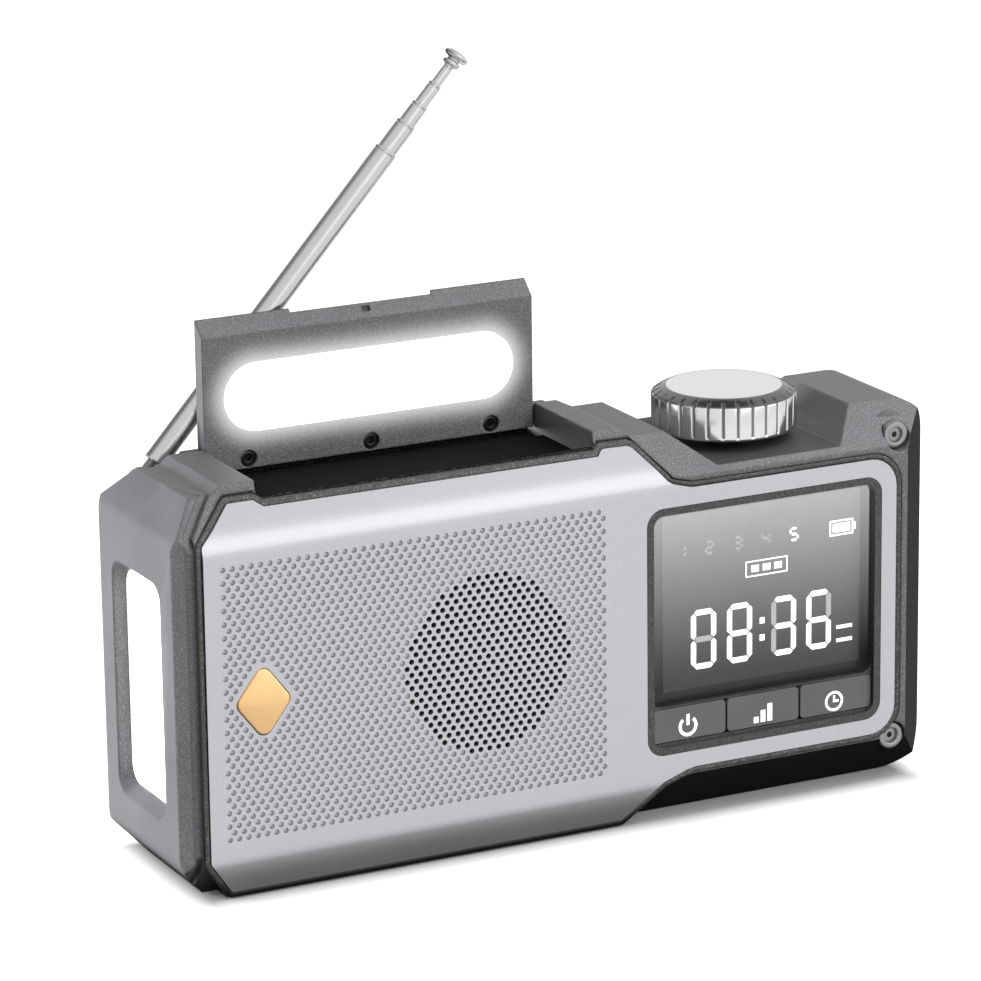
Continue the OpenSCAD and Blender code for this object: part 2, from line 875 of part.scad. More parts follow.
module speaker_frame() {
    color([0.3, 0.3, 0.31])
    translate([spk_x, wall_front, spk_z])
        rotate([-90, 0, 0])
            rotate_extrude($fn = 64)
                polygon([
                    [spk_flange_r, 0], [spk_flange_r, 1.4], [spk_flange_r - 2.5, 1.4],
                    [12, 9], [9, 9], [9, 8], [11.4, 8], [spk_flange_r - 3.5, 0.9],
                    [spk_flange_r - 2, 0.9], [spk_flange_r - 2, 0]
                ]);
}

module speaker_cone() {
    color([0.12, 0.12, 0.12])
    translate([spk_x, wall_front, spk_z])
        rotate([-90, 0, 0])
            rotate_extrude($fn = 64)
                polygon([
                    [spk_flange_r - 2.1, 0.1], [spk_flange_r - 2.1, 0.7],
                    [spk_flange_r - 3.9, 0.7], [6, 6], [0, 6.6],
                    [0, 6], [6, 5.4], [spk_flange_r - 4.1, 0.1]
                ]);
}

module speaker_magnet() {
    color([0.25, 0.25, 0.26])
    bar_y(spk_x, spk_z, 9, wall_front + 8, wall_front + 14);
}

module grille_cloth() {
    color([0.05, 0.05, 0.05])
    bar_y(spk_x, spk_z, speaker_field_r + 0.2, panel_back, panel_back + 0.4);
}

// ---------- lid ----------

module lid_tray() {
    lip_z = case_h - 1.3;
    lip_in = 0.35;
    face = panel_bend_top - yf - panel_t * 1.4143;
    color([0.12, 0.12, 0.125])
    difference() {
        along_x(tray_x0 + 0.1, tray_x1 - 0.1)
            polygon([
                [tray_under - face, tray_under], [channel_y, tray_under],
                [channel_y, tray_lip_z], [channel_y - tray_lip_t, tray_lip_z],
                [channel_y - tray_lip_t, tray_trough], [trough_y, tray_trough],
                [trough_y, tray_floor],
                [lip_z - face + lip_in + lip_z - tray_floor, tray_floor],
                [lip_z - face + lip_in, lip_z], [lip_z - face, lip_z]
            ]);
        block([tray_x0 - 1, 12, tray_under - 1], [tray_x0 + 3, 14, tray_under + 1]);
    }
}

module lid_side() {
    polygon([
        [lid_face, lid_low], [lid_back, lid_low + 0.4], [lid_back, lid_top],
        [lid_face, lid_top - lid_bevel]
    ]);
}

module stadium(g) {
    hull() {
        for (s = [-1, 1])
            translate([lamp_x + s * lamp_half, lamp_z])
                circle(r = lamp_r + g, $fn = 48);
    }
}

module lid_frame() {
    color([0.3, 0.3, 0.31])
    difference() {
        union() {
            along_x(lid_x0, lid_x1)
                lid_side();
            for (x = [lid_x0, lid_x1 - 7])
                bar_x(hinge_y, hinge_z, hinge_r, x, x + 7);
        }
        along_y(lid_face - 1, lid_back)
            stadium(0.1);
        along_y(lid_face + 1.2, lid_back + 1)
            stadium(1.5);
        block([lid_x0 + 4, lid_back - 1, lid_low + 6.5], [lid_x1 - 4, lid_back + 1, lid_top - 3]);
        block([lamp_x - 17, lid_back - 1, lid_top - 0.9], [lamp_x + 16, lid_back + 1, lid_top + 1]);
        block([lamp_x - 1, lid_face - 1, lid_top - 2.2], [lamp_x + 1, lid_face + 2.6, lid_top - 1.3]);
        for (i = [-1:1])
            bar_y(lamp_x + i * dimple_dx, dimple_z, dimple_r, lid_face - 1, lid_face + 0.9);
        for (x = [lid_x0 - 1, lid_x1 - 5.5])
            bar_x(hinge_y, hinge_z, lid_pin_r + run_gap, x, x + 6.5);
    }
}

module lamp_lens() {
    color([0.97, 0.97, 0.95])
    union() {
        along_y(lid_face - 0.3, lid_face + 1.25)
            stadium(0);
        along_y(lid_face + 1.2, lid_face + 1.7)
            stadium(1.4);
    }
}

module lamp_board() {
    color([0.85, 0.85, 0.8])
    along_y(lid_face + 1.7, lid_back - 1)
        stadium(1.2);
}

module solar_panel() {
    color([0.05, 0.06, 0.13])
    block([lid_x0 + 4.1, lid_back - 1, lid_low + 6.6], [lid_x1 - 4.1, lid_back, lid_top - 3.1]);
}

module lid_pins() {
    color([0.7, 0.7, 0.72])
    union() {
        bar_x(hinge_y, hinge_z, lid_pin_r, tray_x0 - 4.5, lid_x0 + 5);
        bar_x(hinge_y, hinge_z, lid_pin_r, lid_x1 - 5, tray_x1 + 4.5);
    }
}

module lid_screws() {
    color([0.25, 0.25, 0.26])
    for (i = [-1:1])
        difference() {
            bar_y(lamp_x + i * dimple_dx, dimple_z, dimple_r - 0.15, lid_face + 0.35,
                lid_face + 0.9);
            translate([lamp_x + i * dimple_dx, lid_face + 0.35, dimple_z])
                cube([1.5, 0.5, 0.4], center = true);
        }
}

// ---------- tuning knob ----------

module tuning_knob() {
    bevel_h = 1.6;
    top_r = knob_r - 2.9;
    color([0.8, 0.8, 0.82])
    difference() {
        union() {
            bar_z(knob_x, 0, knob_r, knob_z, knob_z + knob_h - bevel_h);
            translate([knob_x, 0, knob_z + knob_h - bevel_h])
                cylinder(h = bevel_h, r1 = knob_r, r2 = top_r, $fn = 64);
        }
        bar_z(knob_x, 0, knob_r - 1.8, knob_z - 1, knob_z + 1);
        bar_z(knob_x, 0, shaft_r, knob_z - 1, knob_z + 5);
        bar_z(knob_x, 0, top_r - 0.4, knob_z + knob_h - 0.5, knob_z + knob_h + 1);
        for (i = [0:knob_grooves - 1])
            rotate_about(knob_x, i * 360 / knob_grooves)
                translate([knob_x + knob_r + 0.15, 0, knob_z + 0.8])
                    cylinder(h = knob_h, r = 0.55, $fn = 6);
    }
}

module rotate_about(x, a) {
    translate([x, 0, 0])
        rotate([0, 0, a])
            translate([-x, 0, 0])
                children();
}

module knob_disc() {
    color([0.9, 0.9, 0.9])
    bar_z(knob_x, 0, knob_r - 3.4, knob_z + knob_h - 0.5, knob_z + knob_h);
}

module encoder_shaft() {
    color([0.65, 0.65, 0.66])
    bar_z(knob_x, 0, shaft_r, deck_z - 4, knob_z + 5);
}

module encoder_body() {
    color([0.35, 0.35, 0.37])
    difference() {
        union() {
            block([knob_x - 6.5, -6.5, deck_z - 7], [knob_x + 6.5, 6.5, deck_z]);
            bar_z(knob_x, 0, shaft_r + 1, deck_z - 1, pit_z + 0.8);
        }
        bar_z(knob_x, 0, shaft_r + run_gap, deck_z - 4.5, pit_z + 2);
    }
}

// ---------- antenna ----------

module antenna_swivel() {
    color([0.75, 0.75, 0.77])
    union() {
        bar_y(ant_x, ant_z, 1.5, channel_y - 4, channel_y + 0.4);
        on_antenna()
            difference() {
                union() {
                    translate([0, channel_y - ant_y + 0.05, 0])
                        rotate([-90, 0, 0])
                            cylinder(h = 0.95, r = 2.7, $fn = 48);
                    for (s = [-1, 1])
                        translate([s * 1.85, 0, 0])
                            swivel_ear();
                }
                rotate([0, 90, 0])
                    cylinder(h = 10, r = 0.7, center = true, $fn = 32);
            }
    }
}

module swivel_ear() {
    translate([-0.6, 0, 0])
        union() {
            rotate([0, 90, 0])
                cylinder(h = 1.2, r = 1.9, $fn = 40);
            translate([0, channel_y - ant_y + 0.9, -1.9])
                cube([1.2, ant_y - channel_y - 0.9, 3.8]);
        }
}

module antenna_pin() {
    color([0.6, 0.6, 0.62])
    on_antenna()
        rotate([0, 90, 0])
            cylinder(h = 4.9, r = 0.7, center = true, $fn = 32);
}

module tube(z0, l, r, solid_end) {
    difference() {
        translate([0, 0, z0])
            cylinder(h = l, r = r, $fn = 40);
        translate([0, 0, z0 + solid_end])
            cylinder(h = l, r = r - tube_wall, $fn = 40);
    }
}

module antenna_tube_1() {
    color([0.8, 0.8, 0.82])
    on_antenna()
        union() {
            tube(ant_neck, tube_l, tube_r, 2);
            difference() {
                union() {
                    rotate([0, 90, 0])
                        cylinder(h = 2.3, r = 1.7, center = true, $fn = 40);
                    translate([-1.15, -1.3, 0])
                        cube([2.3, 2.6, ant_neck + 0.1]);
                }
                rotate([0, 90, 0])
                    cylinder(h = 4, r = 0.7 + run_gap, center = true, $fn = 32);
            }
        }
}

top_1 = ant_neck + tube_l;
top_2 = top_1 + out_2;
top_3 = top_2 + out_3;
top_4 = top_3 + out_4;
top_rod = top_4 + out_rod;

module antenna_tube_2() {
    color([0.78, 0.78, 0.8])
    on_antenna()
        tube(top_2 - len_2, len_2, r_2, 1);
}

module antenna_tube_3() {
    color([0.8, 0.8, 0.82])
    on_antenna()
        tube(top_3 - len_3, len_3, r_3, 1);
}

module antenna_tube_4() {
    color([0.78, 0.78, 0.8])
    on_antenna()
        tube(top_4 - len_4, len_4, r_4, 1);
}

module antenna_rod() {
    color([0.8, 0.8, 0.82])
    on_antenna()
        translate([0, 0, top_rod - len_rod])
            cylinder(h = len_rod, r = r_rod, $fn = 40);
}

module antenna_tip() {
    color([0.82, 0.82, 0.84])
    on_antenna()
        translate([0, 0, top_rod])
            rotate_extrude($fn = 48)
                polygon([
                    [0, 0], [1.6, 0], [1.9, 0.3], [1.9, 0.8], [1.4, 1.1], [1.4, 1.5],
                    [2.7, 2], [2.8, 2.4], [2.5, 2.8], [1.5, 3.2], [0, 3.4]
                ]);
}

// ---------- torch ----------

module torch_lens() {
    color([0.96, 0.96, 0.94])
    along_x(xl + torch_deep, xl + torch_deep + lens_t)
        torch_window(1, 0, 0);
}

module torch_board() {
    x0 = xl + torch_deep + lens_t;
    color([0.9, 0.9, 0.88])
    union() {
        block([x0 + 1.6, 0.5 - torch_y, torch_z0 + 1], [x0 + 2.8, torch_y - 0.5, torch_z1 - 1]);
        for (i = [0:5])
            block([x0, -1.5, torch_z0 + 4 + i * 7], [x0 + 1.7, 1.5, torch_z0 + 7 + i * 7]);
    }
}

// ---------- battery and ports ----------

module battery_cell() {
    color([0.2, 0.35, 0.6])
    union() {
        bar_x(cell_y, cell_z, cell_r, cell_x0, cell_x0 + cell_l - 1);
        bar_x(cell_y, cell_z, 3, cell_x0 + cell_l - 1.1, cell_x0 + cell_l);
    }
}

module battery_holder() {
    y0 = cell_y - cell_r - 1.6;
    color([0.15, 0.15, 0.16])
    difference() {
        block([bay_x0, y0, bay_z0], [bay_x1, yb - wall, bay_z1]);
        block([cell_x0 - 0.1, y0 + 1.4, bay_z0 + 0.8],
            [cell_x0 + cell_l + 0.1, yb, bay_z1 - 0.8]);
    }
}

module battery_door() {
    color([0.2, 0.2, 0.21])
    difference() {
        union() {
            intersection() {
                door_seat(-0.1, yb - 0.05);
                block([xl, yb - door_t - 0.3, 0], [xr, yb, case_h]);
            }
            block([bay_x0 + 8, yb - wall - 1.2, bay_z0 + 1.2],
                [bay_x1 - 8, yb - door_t, bay_z1 - 1.2]);
        }
        for (p = door_screw_xz)
            bar_y(p[0], p[1], 1.9, yb - 0.9, yb + 1);
        for (i = [0:4])
            block([door_mid - 6 + i * 3, yb - 0.6, cell_z - 4],
                [door_mid - 4.8 + i * 3, yb + 1, cell_z + 4]);
    }
}

door_mid = (bay_x0 + bay_x1) / 2;
door_screw_xz = [[bay_x0 + 2.4, cell_z], [bay_x1 - 2.4, cell_z]];

module door_screws() {
    color([0.6, 0.6, 0.62])
    for (p = door_screw_xz)
        difference() {
            bar_y(p[0], p[1], 1.7, yb - 0.9, yb - 0.2);
            translate([p[0], yb - 0.2, p[1]])
                cube([2.4, 0.6, 0.5], center = true);
        }
}

module port_cover() {
    color([0.12, 0.12, 0.12])
    union() {
        along_y(yb - flap_t, yb)
            polygon(round_box(port_x0, port_z0 + 1, port_x1, port_z1, 1.6));
        bar_x(yb - 1.2, port_z0 + 1, 1, port_x0 - 1.6, port_x1 + 1.6);
        socket_block(usb_x, 10, 2.4, yb - 2.6, yb - flap_t + 0.1);
    }
}

// The board with its two sockets and the plate that seats on the case wall
module port_board() {
    y0 = yb - 15;
    y1 = yb - wall;
    z = (port_z0 + port_z1) / 2 + 1;
    color([0.1, 0.35, 0.2])
    difference() {
        union() {
            block([port_x0 - 3, y0, port_z0 - 4], [port_x1 + 3, y0 + 1.4, port_z1 + 2]);
            socket_block(usb_x, usb_w, usb_h, y0 + 1.3, y1 - port_plate_t / 2);
            socket_block(charge_x, charge_w, charge_h, y0 + 1.3, y1 - port_plate_t / 2);
            for (x = [port_x0 - 3, port_x1])
                block([x, y0 + 1.3, z - 2], [x + 3, y1 - port_plate_t / 2, z + 2]);
            block([port_x0 - 3, y1 - port_plate_t, port_z0 - 3],
                [port_x1 + 3, y1, port_z1 + 3]);
        }
        socket_block(usb_x, usb_w - 0.8, usb_h - 0.8, y0 + 4, yb);
        socket_block(charge_x, charge_w - 0.8, charge_h - 0.8, y0 + 7, yb);
        port_hinge_cut();
    }
}

// ---------- crank and dynamo ----------

module crank_arm() {
    color([0.16, 0.16, 0.17])
    difference() {
        union() {
            bar_y(dish_x, dish_z, 8, arm_y, arm_y + arm_t);
            bar_y(hinge_x - 1, dish_z, arm_w / 2, arm_y, arm_y + arm_t);
            block([hinge_x - 1, arm_y, dish_z - arm_w / 2],
                [dish_x, arm_y + arm_t, dish_z + arm_w / 2]);
            for (s = [-1, 1])
                grip_lug(dish_z + s * (lug_gap + lug_t) / 2);
        }
        bar_y(dish_x, dish_z, crank_shaft_r, arm_y - 1, arm_y + arm_t + 1);
        translate([hinge_x, grip_y, dish_z])
            cylinder(h = 12, r = 0.9, center = true, $fn = 32);
    }
}

module grip_lug(z) {
    translate([hinge_x, grip_y, z - lug_t / 2])
        cylinder(h = lug_t, r = 2.4, $fn = 40);
    block([hinge_x - 2.4, arm_y + arm_t - eps, z - lug_t / 2], [hinge_x + 2.4, grip_y, z + lug_t / 2]);
}

module crank_shaft() {
    color([0.65, 0.65, 0.67])
    union() {
        bar_y(dish_x, dish_z, crank_shaft_r, plate_y + 0.1, arm_y + arm_t);
        bar_y(dish_x, dish_z, crank_shaft_r + 1.4, arm_y + arm_t, arm_y + arm_t + 1.2);
    }
}

module crank_bush() {
    color([0.75, 0.6, 0.3])
    difference() {
        bar_y(dish_x, dish_z, crank_shaft_r + 2, dish_under - 2, dish_y + 0.4);
        bar_y(dish_x, dish_z, crank_shaft_r + run_gap, dish_under - 3, dish_y + 1);
    }
}

module grip_stem() {
    color([0.65, 0.65, 0.67])
    difference() {
        union() {
            translate([hinge_x, grip_y, dish_z])
                cylinder(h = lug_gap - 0.2, r = 2.2, center = true, $fn = 40);
            bar_x(grip_y, dish_z, 1.3, hinge_x, hinge_x + 3 + grip_l);
            bar_x(grip_y, dish_z, 2.2, hinge_x + 3 + grip_l, hinge_x + 3.7 + grip_l);
        }
        translate([hinge_x, grip_y, dish_z])
            cylinder(h = 6, r = 0.9 + run_gap, center = true, $fn = 32);
    }
}

module grip_sleeve() {
    color([0.14, 0.14, 0.15])
    difference() {
        bar_x(grip_y, dish_z, grip_r, hinge_x + 2.9, hinge_x + 2.9 + grip_l);
        bar_x(grip_y, dish_z, 1.3 + run_gap, hinge_x, hinge_x + 5 + grip_l);
    }
}

module grip_pin() {
    color([0.65, 0.65, 0.67])
    translate([hinge_x, grip_y, dish_z])
        cylinder(h = lug_gap + 2 * lug_t, r = 0.9, center = true, $fn = 32);
}

pressure_angle = 20;
backlash = 0.12;
function inv(a) = tan(a) * 180 / PI - a;

// Half of the tooth's angle at radius r
function half_tooth(r, rp, rb, n) =
    90 / n - backlash / 2 / rp * 180 / PI + inv(pressure_angle)
    - (r > rb ? inv(acos(rb / r)) : 0);

// The outline of a gear with n involute teeth, the first one at angle turn
function gear_points(n, turn) =
    let (
        rp = gear_m * n / 2,
        rb = rp * cos(pressure_angle),
        ra = rp + gear_m * 0.95,
        rr = rp - gear_m * 1.2,
        steps = 4,
        r0 = max(rb, rr)
    )
    [
        for (i = [0:n - 1])
            for (k = [-steps - 1:steps + 1])
                if (k != 0)
                    let (
                        q = (abs(k) - 1) / steps,
                        r = abs(k) > steps ? rr : ra + (r0 - ra) * q,
                        h = half_tooth(max(r, r0), rp, rb, n),
                        a = turn + i * 360 / n + sign(k) * h
                    )
                    [r * cos(a), r * sin(a)]
    ];

module gear(x, z, n, turn, y0, y1) {
    along_y(y0, y1)
        translate([x, z])
            polygon(gear_points(n, turn));
}

// Turns each gear so that a tooth meets a gap on the line of centres
function gap_at(n, a) = a + 180 / n;
idler_pinion_turn = gap_at(pinion_teeth, idler_turn + 180);
rotor_pinion_turn = gap_at(pinion_teeth, rotor_turn + 180);

module crank_gear() {
    color([0.85, 0.83, 0.75])
    difference() {
        union() {
            gear(dish_x, dish_z, crank_teeth, idler_turn, gear_y, gear_y + gear_t);
            bar_y(dish_x, dish_z, crank_shaft_r + 2.5, gear_y - 1.5, gear_y + gear_t + 0.4);
        }
        bar_y(dish_x, dish_z, crank_shaft_r, gear_y - 3, gear_y + gear_t + 2);
        for (a = [30:60:330])
            bar_y(dish_x + 14.5 * cos(a), dish_z + 14.5 * sin(a), 4.5, gear_y - 1, gear_y + gear_t + 1);
    }
}

module idler_gear() {
    color([0.85, 0.83, 0.75])
    difference() {
        union() {
            gear(idler_x, idler_z, pinion_teeth, idler_pinion_turn, gear_y - 1, gear_y + gear_t);
            gear(idler_x, idler_z, wheel_teeth, rotor_turn, wheel_y, wheel_y + gear_t);
            bar_y(idler_x, idler_z, axle_r + 1.5, wheel_y + gear_t - eps, gear_y - 1 + eps);
        }
        bar_y(idler_x, idler_z, axle_r + run_gap, wheel_y - 1, gear_y + gear_t + 1);
    }
}

module idler_axle() {
    color([0.65, 0.65, 0.67])
    bar_y(idler_x, idler_z, axle_r, plate_y, dish_under - 0.6);
}

module dynamo_rotor() {
    color([0.75, 0.7, 0.5])
    union() {
        gear(rotor_x, rotor_z, pinion_teeth, rotor_pinion_turn, wheel_y, wheel_y + gear_t);
        bar_y(rotor_x, rotor_z, rotor_r, plate_y - can_l + 1.5, wheel_y + eps);
    }
}

module dynamo_can() {
    color([0.6, 0.6, 0.62])
    difference() {
        bar_y(rotor_x, rotor_z, can_r, plate_y - can_l, plate_y);
        bar_y(rotor_x, rotor_z, rotor_r + run_gap, plate_y - can_l + 1, plate_y + 1);
    }
}

module plate_arm(x, z, r, x2, z2) {
    a = atan2(z2 - z, x2 - x);
    along_y(plate_y, plate_y + plate_t)
        translate([x, z])
            rotate(a)
                translate([0, -r])
                    square([norm([x2 - x, z2 - z]), 2 * r]);
}

post_r = dish_r - 4;
post_xz = [
    [dish_x + post_r, dish_z - 10], [dish_x - 8, dish_z + post_r],
    [dish_x - 6, dish_z - post_r - 1]
];

module gear_plate() {
    color([0.7, 0.7, 0.71])
    difference() {
        union() {
            bar_y(dish_x, dish_z, crank_shaft_r + 4, plate_y, plate_y + plate_t);
            bar_y(idler_x, idler_z, axle_r + 3.5, plate_y, plate_y + plate_t);
            bar_y(rotor_x, rotor_z, can_r, plate_y, plate_y + plate_t);
            plate_arm(dish_x, dish_z, 4.2, idler_x, idler_z);
            plate_arm(idler_x, idler_z, 4.2, rotor_x, rotor_z);
            plate_arm(dish_x, dish_z, 4.2, rotor_x, rotor_z);
            for (p = post_xz) {
                plate_arm(dish_x, dish_z, 3.4, p[0], p[1]);
                bar_y(p[0], p[1], 2.5, plate_y, dish_under);
                bar_y(p[0], p[1], 4, plate_y, plate_y + plate_t);
            }
        }
        bar_y(dish_x, dish_z, crank_shaft_r + run_gap, plate_y - 1, plate_y + plate_t + 1);
        bar_y(idler_x, idler_z, axle_r, plate_y - 1, plate_y + plate_t + 1);
        bar_y(rotor_x, rotor_z, rotor_r + 1, plate_y - 1, plate_y + plate_t + 1);
    }
}

front_shell();
rear_shell();
front_panel();
panel_seal();
display_bezel();
display_window();
lcd_module();
power_button();
band_button();
alarm_button();
button_mat();
front_board();
alert_button();
main_board();
speaker_frame();
speaker_cone();
speaker_magnet();
grille_cloth();
lid_tray();
lid_frame();
lamp_lens();
lamp_board();
solar_panel();
lid_pins();
lid_screws();
tuning_knob();
knob_disc();
encoder_shaft();
encoder_body();
antenna_swivel();
antenna_pin();
antenna_tube_1();
antenna_tube_2();
antenna_tube_3();
antenna_tube_4();
antenna_rod();
antenna_tip();
torch_lens();
torch_board();
battery_cell();
battery_holder();
battery_door();
door_screws();
crank_arm();
crank_shaft();
crank_gear();
crank_bush();
grip_stem();
grip_sleeve();
grip_pin();
idler_gear();
idler_axle();
gear_plate();
dynamo_can();
dynamo_rotor();
port_cover();
port_board();
base_pads();
corner_screws();
case_screws();
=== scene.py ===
import json
import math

import bmesh
import bpy
import numpy as np
from mathutils import Matrix, Vector
from mathutils.bvhtree import BVHTree
from mathutils.geometry import delaunay_2d_cdt
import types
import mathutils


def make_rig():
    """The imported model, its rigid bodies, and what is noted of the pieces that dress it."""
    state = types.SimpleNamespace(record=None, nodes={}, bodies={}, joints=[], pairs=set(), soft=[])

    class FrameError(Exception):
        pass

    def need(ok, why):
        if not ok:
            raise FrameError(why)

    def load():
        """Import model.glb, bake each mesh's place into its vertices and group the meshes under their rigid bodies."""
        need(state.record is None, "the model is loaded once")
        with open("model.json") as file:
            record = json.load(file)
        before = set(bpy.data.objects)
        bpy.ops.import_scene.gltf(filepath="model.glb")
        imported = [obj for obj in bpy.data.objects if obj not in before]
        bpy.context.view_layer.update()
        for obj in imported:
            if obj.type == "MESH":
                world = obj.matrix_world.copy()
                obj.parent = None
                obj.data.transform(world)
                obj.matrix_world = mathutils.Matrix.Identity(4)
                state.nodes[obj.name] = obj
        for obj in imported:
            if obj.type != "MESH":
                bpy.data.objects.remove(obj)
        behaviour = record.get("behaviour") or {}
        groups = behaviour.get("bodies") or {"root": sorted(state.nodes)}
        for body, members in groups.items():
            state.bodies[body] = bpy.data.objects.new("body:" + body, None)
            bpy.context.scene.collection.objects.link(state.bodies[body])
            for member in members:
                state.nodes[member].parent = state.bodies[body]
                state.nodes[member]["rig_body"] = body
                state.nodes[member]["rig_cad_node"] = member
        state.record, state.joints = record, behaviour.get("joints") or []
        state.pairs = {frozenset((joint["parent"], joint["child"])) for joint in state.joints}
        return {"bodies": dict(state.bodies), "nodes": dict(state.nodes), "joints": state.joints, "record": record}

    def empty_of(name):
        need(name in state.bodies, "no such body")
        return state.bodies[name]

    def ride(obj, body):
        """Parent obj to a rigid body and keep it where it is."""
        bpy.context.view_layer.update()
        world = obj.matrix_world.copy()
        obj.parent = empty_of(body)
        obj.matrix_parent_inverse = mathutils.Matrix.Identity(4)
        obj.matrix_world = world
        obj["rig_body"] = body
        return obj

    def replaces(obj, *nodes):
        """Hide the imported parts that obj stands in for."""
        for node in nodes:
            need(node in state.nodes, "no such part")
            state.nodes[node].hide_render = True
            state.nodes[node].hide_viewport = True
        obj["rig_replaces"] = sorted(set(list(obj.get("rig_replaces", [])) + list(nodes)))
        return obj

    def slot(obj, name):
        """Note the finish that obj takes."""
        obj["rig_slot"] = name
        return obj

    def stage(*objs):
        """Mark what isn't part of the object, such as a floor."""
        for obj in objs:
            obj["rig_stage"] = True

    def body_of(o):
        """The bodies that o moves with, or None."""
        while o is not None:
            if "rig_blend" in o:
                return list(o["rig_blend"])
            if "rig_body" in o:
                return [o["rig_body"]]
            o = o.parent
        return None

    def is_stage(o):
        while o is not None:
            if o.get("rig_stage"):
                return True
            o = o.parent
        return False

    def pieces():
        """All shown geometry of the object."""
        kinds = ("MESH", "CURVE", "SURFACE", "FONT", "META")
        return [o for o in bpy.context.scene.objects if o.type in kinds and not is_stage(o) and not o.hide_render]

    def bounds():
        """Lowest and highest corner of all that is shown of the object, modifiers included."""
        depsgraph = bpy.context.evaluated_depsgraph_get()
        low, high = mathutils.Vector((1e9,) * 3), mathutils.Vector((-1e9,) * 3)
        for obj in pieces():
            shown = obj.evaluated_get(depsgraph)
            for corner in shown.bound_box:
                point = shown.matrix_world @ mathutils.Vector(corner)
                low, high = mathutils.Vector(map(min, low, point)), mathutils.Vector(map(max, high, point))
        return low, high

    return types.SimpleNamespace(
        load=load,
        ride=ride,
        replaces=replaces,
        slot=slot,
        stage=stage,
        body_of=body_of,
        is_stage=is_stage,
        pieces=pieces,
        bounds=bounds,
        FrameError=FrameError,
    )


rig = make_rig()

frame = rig.load()
NODES = frame["nodes"]
cad_low, cad_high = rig.bounds()
MM = 0.001

# ---------- sizes in millimetres, the same as in the part's source ----------
XL, XR = -90.3, 90.3
YF = -22.0
CASE_H = 85.0
SEAM_Y = 0.0
PANEL_T = 1.2
FOLD_TOP, FOLD_LOW, LEAN = 77.0, 9.0, 0.23
SPK_X, SPK_Z, SPK_R = -20.2, 42.8, 19.42
PITCH_X, PITCH_Z, HOLE_R = 1.0525, 1.45, 0.61
ALERT_X, ALERT_Z = -71.9, 42.5
DISP = (17.65, 15.2, 75.65, 70.4)
LAMP_X, LAMP_Z, LAMP_R, LAMP_HALF = -29.9, 97.2, 7.35, 26.4
KNOB_X, KNOB_Z, KNOB_R = 48.7, 80.3, 15.8
ANT = Vector((-80.15, 20.4, 79.95))
LEAN_ANT = math.radians(47.8)
ANT_DIR = Vector((math.cos(LEAN_ANT), 0, math.sin(LEAN_ANT)))
SCREWS = ((80.2, -20.2, 78.3), (79.0, -21.4, 10.2))

# ---------- looks that are shared ----------
BEND_TOP, BEND_LOW = 3.2, 1.2  # half the height over which each fold of the metal front bends
COOL = (0.97, 0.98, 1.04)
WHITE = (1, 1, 1)

# ---------- camera and the photograph's points, in pixels of its frame ----------
CAM_AT = Vector((-455.56, -891.23, 356.44)) * MM
CAM_RIGHT = Vector((0.89205619, -0.45175057, -0.01253703))
CAM_UP = Vector((0.13422411, 0.2383541, 0.96185821))
CAM_BACK = Vector((-0.43153174, -0.85971434, 0.27326107))
LENS, SENSOR = 178.872, 36.0
SHIFT = (0.0, 0.0)
W = H = 981

SIDES = {"left x": 98.5, "right x": 921.0, "top y": 47.4, "bottom y": 898.1}
POINTS = {
    "antenna tip": (455.2, 58.6), "lamp lens": (368.9, 381.4),
    "knob cap": (723.8, 383.9), "alert pad": (263.5, 701.7),
    "power mark": (688.0, 725.0), "band mark": (763.0, 713.0), "alarm mark": (834.0, 701.0),
    "battery mark": (842.5, 527.0), "framed mark": (766.5, 566.5), "unit marks": (844.0, 632.5),
    "first digit": (703.5, 638.5), "last digit": (818.5, 619.5),
    "first band number": (681.0, 552.0), "last band number": (794.0, 534.0),
}
# the box in mm, as (x, x, z, z), that holds each mark of the lit display
ON_DISPLAY = {
    "battery mark": (62, 99, 56, 99), "framed mark": (40, 55, 48, 56),
    "unit marks": (64.9, 99, 0, 45), "last band number": (50, 62, 56, 99),
    "first digit": (0, 37, 0, 48), "last digit": (57.5, 64.9, 0, 48),
}
SHOWN = {}
CARRIERS = {}


def place(name, carrier):
    """Where the ray of an image point meets the carrier as finished, in mm.

    A miss takes the place nearest the ray.
    """
    x, y = POINTS[name]
    size = max(W, H)
    way = (CAM_RIGHT * (x - W / 2 + SHIFT[0] * size) + CAM_UP * (H / 2 - y + SHIFT[1] * size)
           - CAM_BACK * (size * LENS / SENSOR))
    bpy.context.view_layer.update()
    tree = BVHTree.FromObject(carrier, bpy.context.evaluated_depsgraph_get())
    inward = carrier.matrix_world.inverted()
    start, way = inward @ CAM_AT, (inward.to_3x3() @ way).normalized()
    hit = tree.ray_cast(start, way)[0]
    if hit is None:
        hit = start + way * (tree.find_nearest(start)[0] - start).length
        for _ in range(12):
            hit = tree.find_nearest(start + way * (hit - start).dot(way))[0]
    return carrier.matrix_world @ hit / MM


# ---------- outlines: lists of (x, z) in mm ----------

def arc(cx, cz, r, a0, a1, n=10):
    return [(cx + r * math.cos(math.radians(a0 + (a1 - a0) * k / n)),
             cz + r * math.sin(math.radians(a0 + (a1 - a0) * k / n))) for k in range(n + 1)]


def rect(x0, z0, x1, z1):
    return [(x0, z0), (x1, z0), (x1, z1), (x0, z1)]


def box_loop(x0, z0, x1, z1, r, n=6):
    """A rectangle with rounded corners."""
    return (arc(x1 - r, z0 + r, r, -90, 0, n) + arc(x1 - r, z1 - r, r, 0, 90, n)
            + arc(x0 + r, z1 - r, r, 90, 180, n) + arc(x0 + r, z0 + r, r, 180, 270, n))


